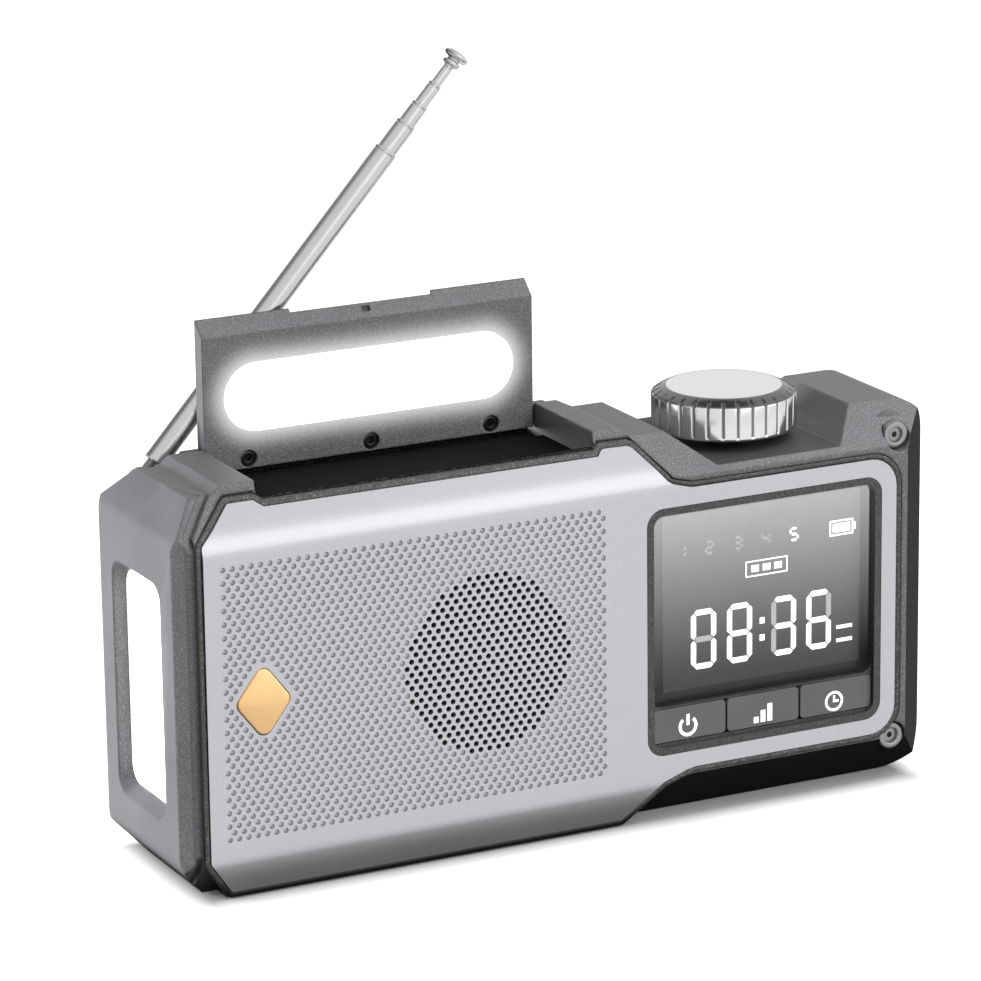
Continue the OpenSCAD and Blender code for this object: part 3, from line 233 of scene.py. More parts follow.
def round_corners(points, radii):
    """The polygon with corner i rounded to radii[i]."""
    out, steps = [], 6
    for i, r in enumerate(radii):
        a, b, c = (Vector(points[k % len(points)]) for k in (i - 1, i, i + 1))
        u, v = a - b, c - b
        half = u.angle(v) / 2
        cut = min(r / math.tan(half), u.length * 0.48, v.length * 0.48)
        r = cut * math.tan(half)
        u.normalize()
        v.normalize()
        centre = b + (u + v).normalized() * (r / math.sin(half))
        p0, p1 = b + u * cut - centre, b + v * cut - centre
        a0 = math.atan2(p0.y, p0.x)
        turn = (math.atan2(p1.y, p1.x) - a0 + math.pi) % (2 * math.pi) - math.pi
        for k in range(steps + 1):
            t = a0 + turn * k / steps
            out.append((centre.x + r * math.cos(t), centre.y + r * math.sin(t)))
    return out


def outward(points, least):
    """How each corner moves when the outline grows by 1; least keeps sharp corners short."""
    out = []
    for i in range(len(points)):
        a, b, c = (Vector(points[k % len(points)]) for k in (i - 1, i, i + 1))
        u, v = (b - a).normalized(), (c - b).normalized()
        m, k = Vector((u.y, -u.x)), Vector((v.y, -v.x))
        out.append((m + k) / max(least, 1 + m.dot(k)))
    return out


def grown(points, g):
    return [(x + w.x * g, z + w.y * g) for (x, z), w in zip(points, outward(points, 0.35))]


def inside_polygon(pts, poly):
    """Which of the rows of pts lie inside the polygon."""
    x, z = pts[:, 0], pts[:, 1]
    hit = np.zeros(len(pts), bool)
    for (ax, az), (bx, bz) in zip(poly, poly[1:] + poly[:1]):
        with np.errstate(divide="ignore", invalid="ignore"):
            at = (bx - ax) * (z - az) / (bz - az) + ax
        hit ^= ((az > z) != (bz > z)) & (x < at)
    return hit


# ---------- meshes ----------

def new_object(name, mesh, body, slot, nodes=(), paint=""):
    """An object that rides a body, takes the place of CAD nodes and wears the named materials."""
    ob = bpy.data.objects.new(name, mesh)
    bpy.context.scene.collection.objects.link(ob)
    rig.ride(ob, body)
    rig.slot(ob, slot)
    if nodes:
        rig.replaces(ob, *nodes)
    for key in paint.split():
        mesh.materials.append(MAT[key].m)
    return ob


def paint_node(node, key):
    for s in NODES[node].material_slots:
        s.material = MAT[key].m


def soften_shading(me, angle):
    """Smooth faces, with every edge sharper than angle left sharp."""
    bm = bmesh.new()
    bm.from_mesh(me)
    limit = math.radians(angle)
    for f in bm.faces:
        f.smooth = True
    for e in bm.edges:
        e.smooth = len(e.link_faces) == 2 and e.calc_face_angle(0) < limit
    bm.to_mesh(me)
    bm.free()


def mesh_of(name, verts, faces, smooth):
    me = bpy.data.meshes.new(name)
    me.from_pydata([tuple(v) for v in verts], [], faces)
    me.validate()
    bm = bmesh.new()
    bm.from_mesh(me)
    bmesh.ops.remove_doubles(bm, verts=bm.verts, dist=1e-6)
    bmesh.ops.recalc_face_normals(bm, faces=bm.faces)
    bm.to_mesh(me)
    bm.free()
    soften_shading(me, smooth)
    return me


def join_meshes(name, meshes, smooth=None):
    bm = bmesh.new()
    for me in meshes:
        bm.from_mesh(me)
    out = bpy.data.meshes.new(name)
    bm.to_mesh(out)
    bm.free()
    if smooth:
        soften_shading(out, smooth)
    return out


def ring_faces(rings, per, closed=False):
    """Quads between rings of vertices that are numbered ring after ring."""
    faces = []
    for a in range(rings if closed else rings - 1):
        b = (a + 1) % rings * per
        for k in range(per):
            n = (k + 1) % per
            faces.append((a * per + k, a * per + n, b + n, b + k))
    return faces


def prism(name, *rings):
    """Rings of (x, y, z) in mm, joined in turn and closed at both ends."""
    per = len(rings[0])
    verts = [tuple(c * MM for c in v) for ring in rings for v in ring]
    ends = [tuple(range(per)), tuple(range(len(verts) - per, len(verts)))]
    return mesh_of(name, verts, ends + ring_faces(len(rings), per), 30)


def slab(name, loop, y0, y1, edge):
    """An outline as a thin slab from y0 back to y1, with its front edge rounded."""
    sections = ((-edge, y0), (-edge * 0.3, y0 + edge * 0.3), (0.0, y0 + edge), (0.0, y1))
    return prism(name, *([(x, y, z) for x, z in grown(loop, g)] for g, y in sections))


def lathe(name, profile, origin, axis, steps=64, smooth=35):
    """A profile of (radius, height) pairs in mm turned round an axis."""
    axis = Vector(axis).normalized()
    side = axis.orthogonal().normalized()
    other = axis.cross(side)
    verts, faces, rings = [], [], []
    for r, h in profile:
        centre = Vector(origin) + axis * h
        start = len(verts)
        for k in range(steps if r else 1):
            a = 2 * math.pi * k / steps
            verts.append((centre + (side * math.cos(a) + other * math.sin(a)) * r) * MM)
        rings.append(range(start, len(verts)))
    for a, b in zip(rings, rings[1:]):
        for k in range(steps):
            n = (k + 1) % steps
            corners = (a[k % len(a)], a[n % len(a)], b[n % len(b)], b[k % len(b)])
            corners = tuple(dict.fromkeys(corners))
            if len(corners) >= 3:
                faces.append(corners)
    return mesh_of(name, verts, faces, smooth)


def mend_faces(bm):
    """Split anew each flat face whose outline crosses itself after rounding."""
    bm.normal_update()
    spread = {}
    for loops in bm.calc_loop_triangles():
        a, b, c = (loop.vert.co for loop in loops)
        face = loops[0].face
        spread[face] = spread.get(face, 0.0) + (b - a).cross(c - a).length / 2
    overlap = 5e-8  # in square metres, more than rounding errors give
    for face in [f for f, size in spread.items() if size - f.calc_area() > overlap]:
        ring, at = list(face.verts), face.verts[0].co.copy()
        u = face.normal.orthogonal().normalized()
        v = face.normal.cross(u)
        flat = [Vector(((w.co - at).dot(u), (w.co - at).dot(v))) / MM for w in ring]
        count = len(ring)
        found, _, triangles, origin = delaunay_2d_cdt(
            flat, [(k, (k + 1) % count) for k in range(count)], [], 0, 1e-4)[:4]
        made = [ring[src[0]] if src else bm.verts.new(at + (u * q.x + v * q.y) * MM)
                for q, src in zip(found, origin)]
        mid = np.array([np.mean([found[k] for k in t], 0) for t in triangles])
        inside = inside_polygon(mid, [tuple(q) for q in flat])
        bmesh.ops.delete(bm, geom=[face], context="FACES_ONLY")
        for t, keep in zip(triangles, inside):
            corners = [made[k] for k in t]
            if keep and len(set(corners)) == 3 and not bm.faces.get(corners):
                bm.faces.new(corners)


def softened(node, *passes, paint, shortest=1.3, segments=3):
    """A copy of a CAD node that replaces it, with its long edges rounded.

    Each pass is (width in mm, pick); pick says by an edge's middle whether it is rounded.
    """
    src = NODES[node]
    sharp = math.radians(18)
    bm = bmesh.new()
    bm.from_mesh(src.data)
    bmesh.ops.remove_doubles(bm, verts=bm.verts, dist=2e-6)
    bmesh.ops.dissolve_limit(
        bm, angle_limit=math.radians(0.6), use_dissolve_boundaries=False,
        verts=bm.verts, edges=bm.edges, delimit={"NORMAL"})
    for width, pick in passes:
        chosen = [
            e for e in bm.edges
            if len(e.link_faces) == 2 and e.calc_length() >= shortest * MM
            and e.calc_face_angle(0) >= sharp
            and (pick is None or pick((e.verts[0].co + e.verts[1].co) / 2 / MM))]
        bmesh.ops.bevel(
            bm, geom=chosen, offset=width * MM, offset_type="OFFSET", segments=segments,
            profile=0.5, affect="EDGES", clamp_overlap=True, miter_outer="ARC")
    mend_faces(bm)
    me = bpy.data.meshes.new(node + "_soft")
    bm.to_mesh(me)
    bm.free()
    soften_shading(me, 30)
    slot = next(s["material_slot"] for s in frame["record"]["subparts"] if s["node"] == node)
    ob = new_object(node + "_soft", me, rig.body_of(src)[0], slot, [node], paint)
    even = ob.modifiers.new("even normals", "WEIGHTED_NORMAL")
    even.keep_sharp = True
    even.weight = 100
    return ob


# ---------- materials ----------

class Nodes:
    """A node tree, with short ways to add to it."""

    def __init__(self, tree):
        self.t = tree

    def put(self, node, key, value):
        """Link a socket to a node's input, or set the input to a number or colour."""
        socket = node.inputs[key]
        if isinstance(value, bpy.types.NodeSocket):
            self.t.links.new(value, socket)
        elif socket.type == "RGBA":
            socket.default_value = (*value, 1)
        else:
            socket.default_value = value

    def add(self, kind, inputs=(), **settings):
        n = self.t.nodes.new("ShaderNode" + kind)
        for key, value in settings.items():
            setattr(n, key, value)
        for key, value in dict(inputs).items():
            self.put(n, key, value)
        return n

    def ramp(self, value, low, high, a=0.0, b=1.0, kind="LINEAR"):
        """From a at low to b at high, and level beyond."""
        return self.add("MapRange", {
            "Value": value, "From Min": low, "From Max": high, "To Min": a, "To Max": b,
        }, interpolation_type=kind).outputs["Result"]

    def smooth(self, value, low, high, a=0.0, b=1.0):
        return self.ramp(value, low, high, a, b, "SMOOTHSTEP")

    def math(self, op, a, b=0.0):
        return self.add("Math", {0: a, 1: b}, operation=op).outputs[0]

    def plus(self, a, b):
        return self.math("ADD", a, b)

    def minus(self, a, b):
        return self.math("SUBTRACT", a, b)

    def times(self, a, b):
        return self.math("MULTIPLY", a, b)

    def length(self, a, b):
        return self.math("SQRT", self.plus(self.times(a, a), self.times(b, b)))

    def beyond(self, value, reach):
        """How far a value's size passes reach, or 0."""
        return self.math("MAXIMUM", self.minus(self.math("ABSOLUTE", value), reach), 0.0)


class Shade(Nodes):
    """One node-built material."""

    def __init__(self, name):
        self.m = bpy.data.materials.new(name)
        self.m.use_nodes = True
        super().__init__(self.m.node_tree)
        self.b = self.t.nodes["Principled BSDF"]
        self.coord = self.t.nodes.new("ShaderNodeTexCoord")

    def surface(self, **inputs):
        """Set the shader's own inputs, their spaces written as underscores."""
        for key, value in inputs.items():
            self.put(self.b, key.replace("_", " "), value)
        return self

    def noise(self, scale, detail=2.0, rough=0.5, stretch=None):
        source = self.coord.outputs["Object"]
        if stretch:
            source = self.add("Mapping", {"Vector": source, "Scale": stretch}).outputs["Vector"]
        return self.add("TexNoise", {
            "Vector": source, "Scale": scale, "Detail": detail, "Roughness": rough,
        }).outputs["Fac"]

    def spread(self, noise, a=0.0, b=1.0):
        """A noise's usual range, drawn out to go from a to b."""
        return self.ramp(noise, 0.3, 0.7, a, b)

    def mix(self, fac, a, b):
        return self.add("Mix", {"Factor": fac, 6: a, 7: b}, data_type="RGBA").outputs[2]

    def xyz(self, space="Object"):
        return self.add("SeparateXYZ", {0: self.coord.outputs[space]}).outputs

    def front(self, low, high):
        """1 on the faces that look forward, 0 on the others."""
        return self.smooth(self.times(self.xyz("Normal")[1], -1.0), low, high)

    def bump(self, height, strength, distance, edge=0.0):
        inputs = {"Strength": strength, "Distance": distance, "Height": height}
        if edge:
            # rounded edges, but none along the fine seam between the two shells
            off = self.math("ABSOLUTE", self.minus(self.xyz()[1], SEAM_Y * MM))
            inputs["Normal"] = self.add("Mix", {
                "Factor": self.smooth(off, edge, edge * 1.3),
                4: self.add("NewGeometry").outputs["Normal"],
                5: self.add("Bevel", {"Radius": edge}, samples=6).outputs["Normal"],
            }, data_type="VECTOR").outputs[1]
        return self.surface(Normal=self.add("Bump", inputs).outputs["Normal"])


def grey(v, tint=WHITE):
    """A linear colour from a 0-255 level."""
    c = v / 255
    lin = c / 12.92 if c <= 0.04045 else ((c + 0.055) / 1.055) ** 2.4
    return tuple(lin * t for t in tint)


def plastic(name, level, rough=0.5, speckle_glint=0.0, bump=0.25, spec=0.35,
            tint=(1, 1, 1.03), edge=0.0, foot_shade=0.0):
    """Moulded plastic with spark-eroded grain; specks painted brighter, as glints, on the faces that look forward, and
    painted shade that darkens its foot.
    """
    s = Shade(name)
    fine = s.noise(3300, 2.0, 0.6)
    base = s.mix(s.spread(s.noise(45, 3, 0.55)), grey(level * 0.94, tint), grey(level * 1.06, tint))
    # the grain's specks, lightened as painted glints only on the faces that look forward
    if speckle_glint:
        glint_mask = s.times(s.times(s.smooth(fine, 0.47, 0.66), s.front(0.35, 0.75)), speckle_glint)
        base = s.mix(glint_mask, base, grey(190, tint))
    # painted shade: the plastic darkens to near black towards the bottom
    if foot_shade:
        base = s.mix(s.smooth(s.xyz()[2], 0.0015, foot_shade), grey(9), base)
    s.surface(Base_Color=base, Specular_IOR_Level=spec,
              Roughness=s.spread(fine, rough - 0.07, rough + 0.07))
    return s.bump(fine, bump, 0.00008, edge)


def metal(name, level, rough, brushed=None, tint=(1, 1, 1.01), bump=0.0):
    s = Shade(name)
    grain = s.noise(5200, 3, 0.6, brushed)
    s.surface(Base_Color=s.mix(s.spread(grain), grey(level * 0.97, tint), grey(level * 1.02, tint)),
              Metallic=1.0, Roughness=s.spread(grain, rough * 0.88, rough * 1.12))
    return s.bump(grain, bump, 0.00003) if bump else s


def board_material():
    s = Shade("solder mask")
    tracks = s.add("TexBrick", {
        "Vector": s.coord.outputs["Object"], "Scale": 260, "Mortar Size": 0.03,
        "Color1": (0.008, 0.09, 0.03), "Color2": (0.01, 0.11, 0.04), "Mortar": (0.02, 0.2, 0.07)})
    s.surface(Base_Color=tracks.outputs["Color"], Roughness=0.35)
    return s.bump(s.noise(700), 0.1, 0.00005)


def knob_material():
    """Turned aluminium with painted shade: darker in the flutes and on the bevel, which lie inside the radius."""
    s = metal("turned aluminium", 226, 0.17, brushed=(1, 1, 8))
    x, y, _ = s.xyz()
    r = s.length(s.minus(x, KNOB_X * MM), y)
    bright = s.b.inputs["Base Color"].links[0].from_socket
    # painted shade: full colour only at the outer radius
    rim = s.smooth(r, (KNOB_R - 0.32) * MM, (KNOB_R - 0.06) * MM)
    return s.surface(Base_Color=s.mix(rim, grey(112), bright))


def silver_material():
    """Satin metallic paint with a faint flake and long soft variation."""
    s = Shade("silver paint")
    flake = s.noise(3200, 2, 0.6)
    tint = (1, 0.99, 1.04)
    base = s.mix(s.spread(flake), grey(192, tint), grey(202, tint))
    base = s.mix(s.spread(s.noise(16), 0, 0.12), base, grey(180, (1, 0.99, 1.05)))
    s.surface(Base_Color=base, Metallic=0.85, Roughness=s.spread(flake, 0.3, 0.34))
    return s.bump(flake, 0.05, 0.00003)


def lid_material():
    """Lid plastic with a painted glow round its stadium-shaped window, standing in for the lamp's light on it."""
    s = plastic("lid plastic", 74, 0.48, speckle_glint=0.22, spec=0.8, tint=COOL, edge=0.0005)
    x, _, z = s.xyz()
    past_end = s.beyond(s.minus(x, LAMP_X * MM), LAMP_HALF * MM)
    off = s.minus(s.length(past_end, s.minus(z, LAMP_Z * MM)), LAMP_R * MM)
    # painted light: a white glow on the forward faces, fading within about 8 mm of the window
    painted_lamp_glow = s.math("POWER", s.times(s.smooth(off, 0.0078, -0.001), s.front(0.6, 0.95)), 2.4)
    return s.surface(Emission_Color=WHITE, Emission_Strength=s.times(painted_lamp_glow, 0.58))


def lens_material(name, strength):
    s = Shade(name)
    cloud = s.spread(s.noise(60), strength * 0.94, strength * 1.06)
    return s.surface(Base_Color=(0.9, 0.9, 0.9), Roughness=0.35,
                     Emission_Color=WHITE, Emission_Strength=cloud)


def glow_material(name, level):
    s = Shade(name)
    film = s.spread(s.noise(500), level * 0.78, level * 0.9)
    return s.surface(Base_Color=(level, level, level), Roughness=0.5,
                     Emission_Color=WHITE, Emission_Strength=film)


def amber_material():
    s = Shade("amber rubber")
    s.surface(Base_Color=s.mix(s.spread(s.noise(90, 3)), (1.0, 0.6, 0.27), (1.0, 0.64, 0.3)),
              Roughness=0.42, Subsurface_Weight=0.1)
    return s.bump(s.noise(2400), 0.1, 0.00005)


def solar_material():
    """Dark cells with thin bus lines, under glass."""
    s = Shade("solar cells")
    x, _, z = s.xyz()
    lines = s.math("PINGPONG", s.plus(x, 0.2), 0.00572)
    bars = s.math("PINGPONG", s.plus(z, 0.2), 0.0019)
    thin = s.times(s.smooth(bars, 0.00012, 0.00006), 0.35)
    grain = s.noise(220, 3, 0.6)
    cell = s.mix(s.spread(grain), (0.006, 0.01, 0.035), (0.012, 0.02, 0.06))
    printed = s.math("MAXIMUM", s.smooth(lines, 0.0003, 0.00022), thin)
    s.surface(Base_Color=s.mix(printed, cell, (0.35, 0.36, 0.38)), Roughness=0.12, Coat_Weight=0.6)
    return s.bump(grain, 0.05, 0.00005)


def lcd_material(name, low, high):
    """The display's backlit field, with a painted reflection that makes it pale above and dark below, black under the
    field.
    """
    s = Shade(name)
    z = s.xyz()[2]
    # painted reflection: the field grows brighter towards its top
    base = s.mix(s.math("POWER", s.ramp(z, 0.0285, 0.069), 1.5), grey(low), grey(high))
    base = s.mix(s.smooth(z, 0.0280, 0.0286), grey(18), base)
    return s.surface(Base_Color=(0.01, 0.01, 0.01), Roughness=0.3, Emission_Color=base,
                     Emission_Strength=s.spread(s.noise(300), 0.96, 1.0))


def glass_material():
    """Clear window: mostly see-through, with a thin even gloss."""
    s = Shade("clear window")
    s.surface(Base_Color=(0.02, 0.02, 0.02), Roughness=0.06, Specular_IOR_Level=0.3)
    mix = s.add("MixShader", {
        "Fac": s.spread(s.noise(40), 0.05, 0.07),
        1: s.add("BsdfTransparent").outputs[0], 2: s.b.outputs[0]})
    s.put(s.t.nodes["Material Output"], "Surface", mix.outputs[0])
    return s


def cloth_material():
    s = Shade("speaker cloth")
    weave = s.add("TexChecker", {
        "Vector": s.coord.outputs["Object"], "Scale": 2500,
        "Color1": (0.004, 0.004, 0.004), "Color2": (0.012, 0.012, 0.012)})
    return s.surface(Base_Color=weave.outputs["Color"], Roughness=0.9)


MAT = {
    "case": plastic("case plastic", 76, 0.56, speckle_glint=0.26, spec=0.9, tint=COOL,
                    edge=0.0009, foot_shade=0.009),
    # a darker copy of the case plastic: painted shade for its pockets
    "case_dark": plastic("case plastic, painted shade in pockets", 26, 0.7, spec=0.1),
    # a darker copy of the case plastic: painted shade for the knob's well
    "pit": plastic("case plastic, painted shade in the well", 56, 0.6, spec=0.3, edge=0.0009),
    "tray": plastic("tray plastic", 9, 0.8, speckle_glint=0.1, spec=0.06),
    "seal": plastic("rim rubber", 44, 0.45, speckle_glint=0.22, spec=0.5, foot_shade=0.006),
    "bezel": plastic("bezel plastic", 50, 0.4, speckle_glint=0.12, spec=0.5),
    "keys": plastic("key plastic", 92, 0.4, bump=0.12, spec=0.5),
    "rubber": plastic("black rubber", 22, 0.75, bump=0.3, spec=0.2),
    "inner": plastic("inner plastic", 30, 0.6),
    "crank": plastic("crank plastic", 44, 0.45, bump=0.2),
    "gear": plastic("natural acetal", 215, 0.4, bump=0.1, tint=(1, 0.96, 0.86)),
    "cell": plastic("cell wrap", 110, 0.3, bump=0.05, tint=(0.35, 0.6, 1.4)),
    "board": board_material(),
    "chrome": metal("satin chrome", 204, 0.26),
    "screw": metal("screw steel", 158, 0.4),
    "steel": metal("bright steel", 185, 0.32, brushed=(1, 1, 6), bump=0.05),
    "black_steel": metal("blackened steel", 70, 0.4),
    "brass": metal("turned brass", 190, 0.3, tint=(1, 0.8, 0.45)),
    "silver": silver_material(),
    "lid": lid_material(),
    "lens": lens_material("opal lamp lens", 1.25),
    "torch": lens_material("opal torch lens", 1.2),
    "knob": knob_material(),
    "knob_top": metal("satin disc", 238, 0.4),
    "amber": amber_material(),
    "solar": solar_material(),
    "lcd": lcd_material("display field", 50, 196),
    "lcd_edge": lcd_material("display edge", 14, 188),
    "glass": glass_material(),
    "segment": glow_material("lit segment", 1.0),
    "ghost": glow_material("dim segment", 0.3),
    # the key icons: white print that is also made to glow, a painted light
    "icon": glow_material("printed mark, painted glow", 0.82),
    "cloth": cloth_material(),
}
# the CAD nodes that show as they are, by material
PAINTED = {
    "glass": ("display_window",), "lens": ("lamp_lens", "torch_board"), "torch": ("torch_lens",),
    "solar": ("solar_panel",), "board": ("main_board", "front_board", "port_board", "lamp_board"),
    "steel": ("lid_pins", "encoder_shaft", "encoder_body", "antenna_swivel", "antenna_pin",
              "crank_shaft", "grip_stem", "grip_pin", "idler_axle", "gear_plate", "dynamo_can",
              "speaker_frame"),
    "black_steel": ("case_screws", "door_screws", "speaker_magnet"),
    "brass": ("crank_bush", "dynamo_rotor"), "rubber": ("base_pads", "button_mat"),
    "crank": ("crank_arm", "grip_sleeve"), "gear": ("crank_gear", "idler_gear"),
    "inner": ("battery_holder", "speaker_cone"), "cell": ("battery_cell",),
    "cloth": ("grille_cloth",),
}


# ---------- case ----------

def outer(mid):
    """Edges on the outside of the case, not those of its hollow."""
    x, y, z = mid
    return (abs(y) > 19.7 or z > CASE_H - 10 or z < 1.2 or x > 88 or x < -85.4
            or (abs(y) > 12 and (z > 76.6 or z < 11)) or (x > 80 and abs(y) > 12))


def torch_edge(mid):
    return abs(mid.y) < 13.2 and 15 < mid.z < 68


def cap_edge(mid):
    """The long edges of the end cap, which are rounder than the rest."""
    return outer(mid) and mid.x < -86.2 and not torch_edge(mid)


def body_edge(mid):
    return outer(mid) and (mid.x >= -86.2 or torch_edge(mid))


def build_case():
    for node in ("front_shell", "rear_shell"):
        ob = softened(node, (1.4, cap_edge), (0.7, body_edge), paint="case case_dark pit")
        for p in ob.data.polygons:
            c = p.center / MM
            # painted shade: faces inside the hollow take the darker copy of the case plastic
            if abs(c.y) < 19.6 and -83 < c.x < 86 and 2 < c.z < 76:
                p.material_index = 1
            # painted shade: the upward faces of the well round the knob take the darker copy
            elif p.normal.z > 0.9 and 5 < c.x < 76 and 70 < c.z < CASE_H - 5:
                p.material_index = 2


# ---------- metal front ----------

PANEL = [
    (XL + 11, 1.7), (XR - 78.1, 1.7), (XR - 68.7, 9.2), (XR - 63.3, 11.1),
    (XR - 60.9, 11.6), (XR - 11, 11.6), (XR - 11, CASE_H - 10.8),
    (XR - 61.7, CASE_H - 10.8), (XR - 66.9, CASE_H - 9.4), (XR - 73.3, CASE_H - 1.6),
    (XR - 79.9, CASE_H - 1.5), (XR - 81.4, CASE_H - 2.7), (XL + 21.9, CASE_H - 2.7),
    (XL + 20.1, CASE_H - 1.4), (XL + 14.3, CASE_H - 1.4), (XL + 5.9, CASE_H - 8.1),
    (XL + 5.8, 9.1),
]
PANEL_R = [0.8, 1.5, 2.5, 2.5, 2.0, 6.3, 6.5, 3.0, 4.0, 2.0, 1.2, 0.8, 0.8, 0.8, 1.2, 1.5, 1.5]
COLUMNS, ROWS = range(-57, 27), range(-20, 21)  # of the holes, counted from the speaker's
AROUND = [(di, dj) for di in (-1, 0, 1) for dj in (-1, 0, 1)]


def fold_y(z):
    """The metal front's depth at a height, with its two folds rounded."""
    def bend(t, r):
        if t <= -r:
            return 0.0
        return t if t >= r else (t + r) ** 2 / (4 * r)
    return YF + bend(z - FOLD_TOP, BEND_TOP) + LEAN * bend(FOLD_LOW - z, BEND_LOW)


def fold_inward(z):
    """The direction into the case, square to the metal front at a height."""
    slope = (fold_y(z + 0.05) - fold_y(z - 0.05)) / 0.1
    return Vector((0, 1, -slope)).normalized()


def diamond(g=0.0):
    w, h = 6.35 + g, 8.3 + g
    corners = [(ALERT_X, ALERT_Z - h), (ALERT_X + w, ALERT_Z),
               (ALERT_X, ALERT_Z + h), (ALERT_X - w, ALERT_Z)]
    return round_corners(corners, [2.0] * 4)


def lattice():
    """The holes by column and row, as (x, z, through): through before the speaker, else dimples."""
    keep_out = diamond(1.0)
    out = {}
    for i in COLUMNS:
        for j in ROWS:
            at = (SPK_X + i * PITCH_X, SPK_Z + j * PITCH_Z)
            if ((i + j) % 2 and math.dist(at, (ALERT_X, ALERT_Z)) >= 5.5
                    and not inside_polygon(np.array([at]), keep_out)[0]):
                out[i, j] = (*at, math.dist(at, (SPK_X, SPK_Z)) < SPK_R)
    return out


def panel_sheet(holes):
    """The metal front as one flat triangulated sheet, open at its holes, window and button."""
    outline, window, gap = round_corners(PANEL, PANEL_R), box_loop(*DISP, 4.0, 10), diamond(0.25)
    steps = 12
    turns = [2 * math.pi * k / steps for k in range(steps)]
    loops = [outline, window, gap]
    loops += [[(x + HOLE_R * math.cos(a), z + HOLE_R * math.sin(a)) for a in turns]
              for x, z, _ in holes.values()]
    rows = [FOLD_TOP + BEND_TOP * k / 4 for k in range(-4, 5)]
    rows += [FOLD_LOW + BEND_LOW * k / 3 for k in range(-3, 4)]
    points, edges = [], []
    for loop in loops:
        start, n = len(points), len(loop)
        points += loop
        edges += [(start + k, start + (k + 1) % n) for k in range(n)]
    for z in rows:
        edges.append((len(points), len(points) + 1))
        points += [(XL - 5, z), (XR + 5, z)]
    found, _, triangles = delaunay_2d_cdt([Vector(p) for p in points], edges, [], 0, 1e-5)[:3]
    co = np.array([tuple(v) for v in found])
    mid = np.array([co[list(t)].mean(0) for t in triangles])
    keep = inside_polygon(mid, outline) & ~inside_polygon(mid, window) & ~inside_polygon(mid, gap)
    col, row = np.rint((mid - (SPK_X, SPK_Z)) / (PITCH_X, PITCH_Z)).T
    for di, dj in AROUND:
        there = np.array([(int(a + di), int(b + dj)) in holes for a, b in zip(col, row)])
        away = mid - np.stack((SPK_X + (col + di) * PITCH_X, SPK_Z + (row + dj) * PITCH_Z), 1)
        keep &= ~(there & (np.hypot(*away.T) < HOLE_R * 0.98))
    verts = [Vector((x, fold_y(z), z)) * MM for x, z in co]
    me = bpy.data.meshes.new("front_panel_skin")
    me.from_pydata(verts, [], [t for t, k in zip(triangles, keep) if k])
    return me


def build_panel():
    holes = lattice()
    me = panel_sheet(holes)
    bm = bmesh.new()
    bm.from_mesh(me)
    bmesh.ops.delete(bm, geom=[v for v in bm.verts if not v.link_faces], context="VERTS")
    for f in bm.faces:
        if f.normal.y > 0:
            f.normal_flip()

    def hole_near(*verts):
        """The hole whose rim a vertex or edge belongs to."""
        x, _, z = sum((v.co for v in verts), Vector()) / len(verts) / MM
        i, j = round((x - SPK_X) / PITCH_X), round((z - SPK_Z) / PITCH_Z)
        for di, dj in AROUND:
            h = holes.get((i + di, j + dj))
            if h and math.hypot(x - h[0], z - h[1]) < HOLE_R * 1.1:
                return h
        return None

    def extruded(edges):
        made = bmesh.ops.extrude_edge_only(bm, edges=edges)["geom"]
        return ([g for g in made if isinstance(g, bmesh.types.BMEdge)],
                [g for g in made if isinstance(g, bmesh.types.BMVert)])

    through_rims, dimple_rims, others = [], [], []
    for e in bm.edges:
        if e.is_boundary:
            h = hole_near(*e.verts)
            (others if not h else through_rims if h[2] else dimple_rims).append(e)
            e.smooth = False
    # side walls of the outline and the two openings
    for v in extruded(others)[1]:
        v.co += fold_inward(v.co.z / MM) * (PANEL_T * 0.9 * MM)

    def sink(ring, steps):
        """Extrude all the rims at once, ring by ring, each to (share of the radius, depth)."""
        last = (1.0, 0.0)
        for share, depth in steps:
            ring, verts = extruded(ring)
            for v in verts:
                x, z, _ = hole_near(v)
                v.co.x = x * MM + (v.co.x - x * MM) * share / last[0]
                v.co.z = z * MM + (v.co.z - z * MM) * share / last[0]
                v.co.y += (depth - last[1]) * MM
            last = (share, depth)
        return ring

    sink(through_rims, [(0.97, 1.0)])
    floors = {}
    for e in sink(dimple_rims, [(0.95, 0.3), (0.8, 0.6), (0.48, 0.8)]):
        v, w = e.verts
        at = hole_near(v, w)
        if at not in floors:
            floors[at] = bm.verts.new((at[0] * MM, v.co.y + 0.05 * MM, at[1] * MM))
        bm.faces.new((v, w, floors[at]))
    for f in bm.faces:
        f.smooth = True
    bmesh.ops.recalc_face_normals(bm, faces=bm.faces)
    bm.to_mesh(me)
    bm.free()
    new_object("front_panel_skin", me, "case", "silver_panel", ["front_panel"], "silver")


def build_seal():
    """The rim round the metal front: a rounded bead on the same folded face."""
    inner = grown(round_corners(PANEL, PANEL_R), 0.12)
    section = [(0.0, 1.1), (0.0, 0.35), (0.12, 0.12), (0.4, 0.0),
               (0.95, 0.0), (1.18, 0.12), (1.28, 0.35), (1.28, 1.1)]
    verts = []
    for (x, z), w in zip(inner, outward(inner, 0.5)):
        for g, depth in section:
            px, pz = x + w.x * g, max(0.32, z + w.y * g)
            verts.append((Vector((px, fold_y(pz), pz)) + fold_inward(pz) * depth) * MM)
    me = mesh_of("panel_rim", verts, ring_faces(len(inner), len(section), closed=True), 50)
    new_object("panel_rim", me, "case", "black_rubber", ["panel_seal"], "seal")


# ---------- display and keys ----------

FIELD_Y, MASK_Y = -19.6, -19.45  # front faces of the lit field and of the mask round it
MARKS_Y, KEY_MARKS_Y = -19.66, -21.02


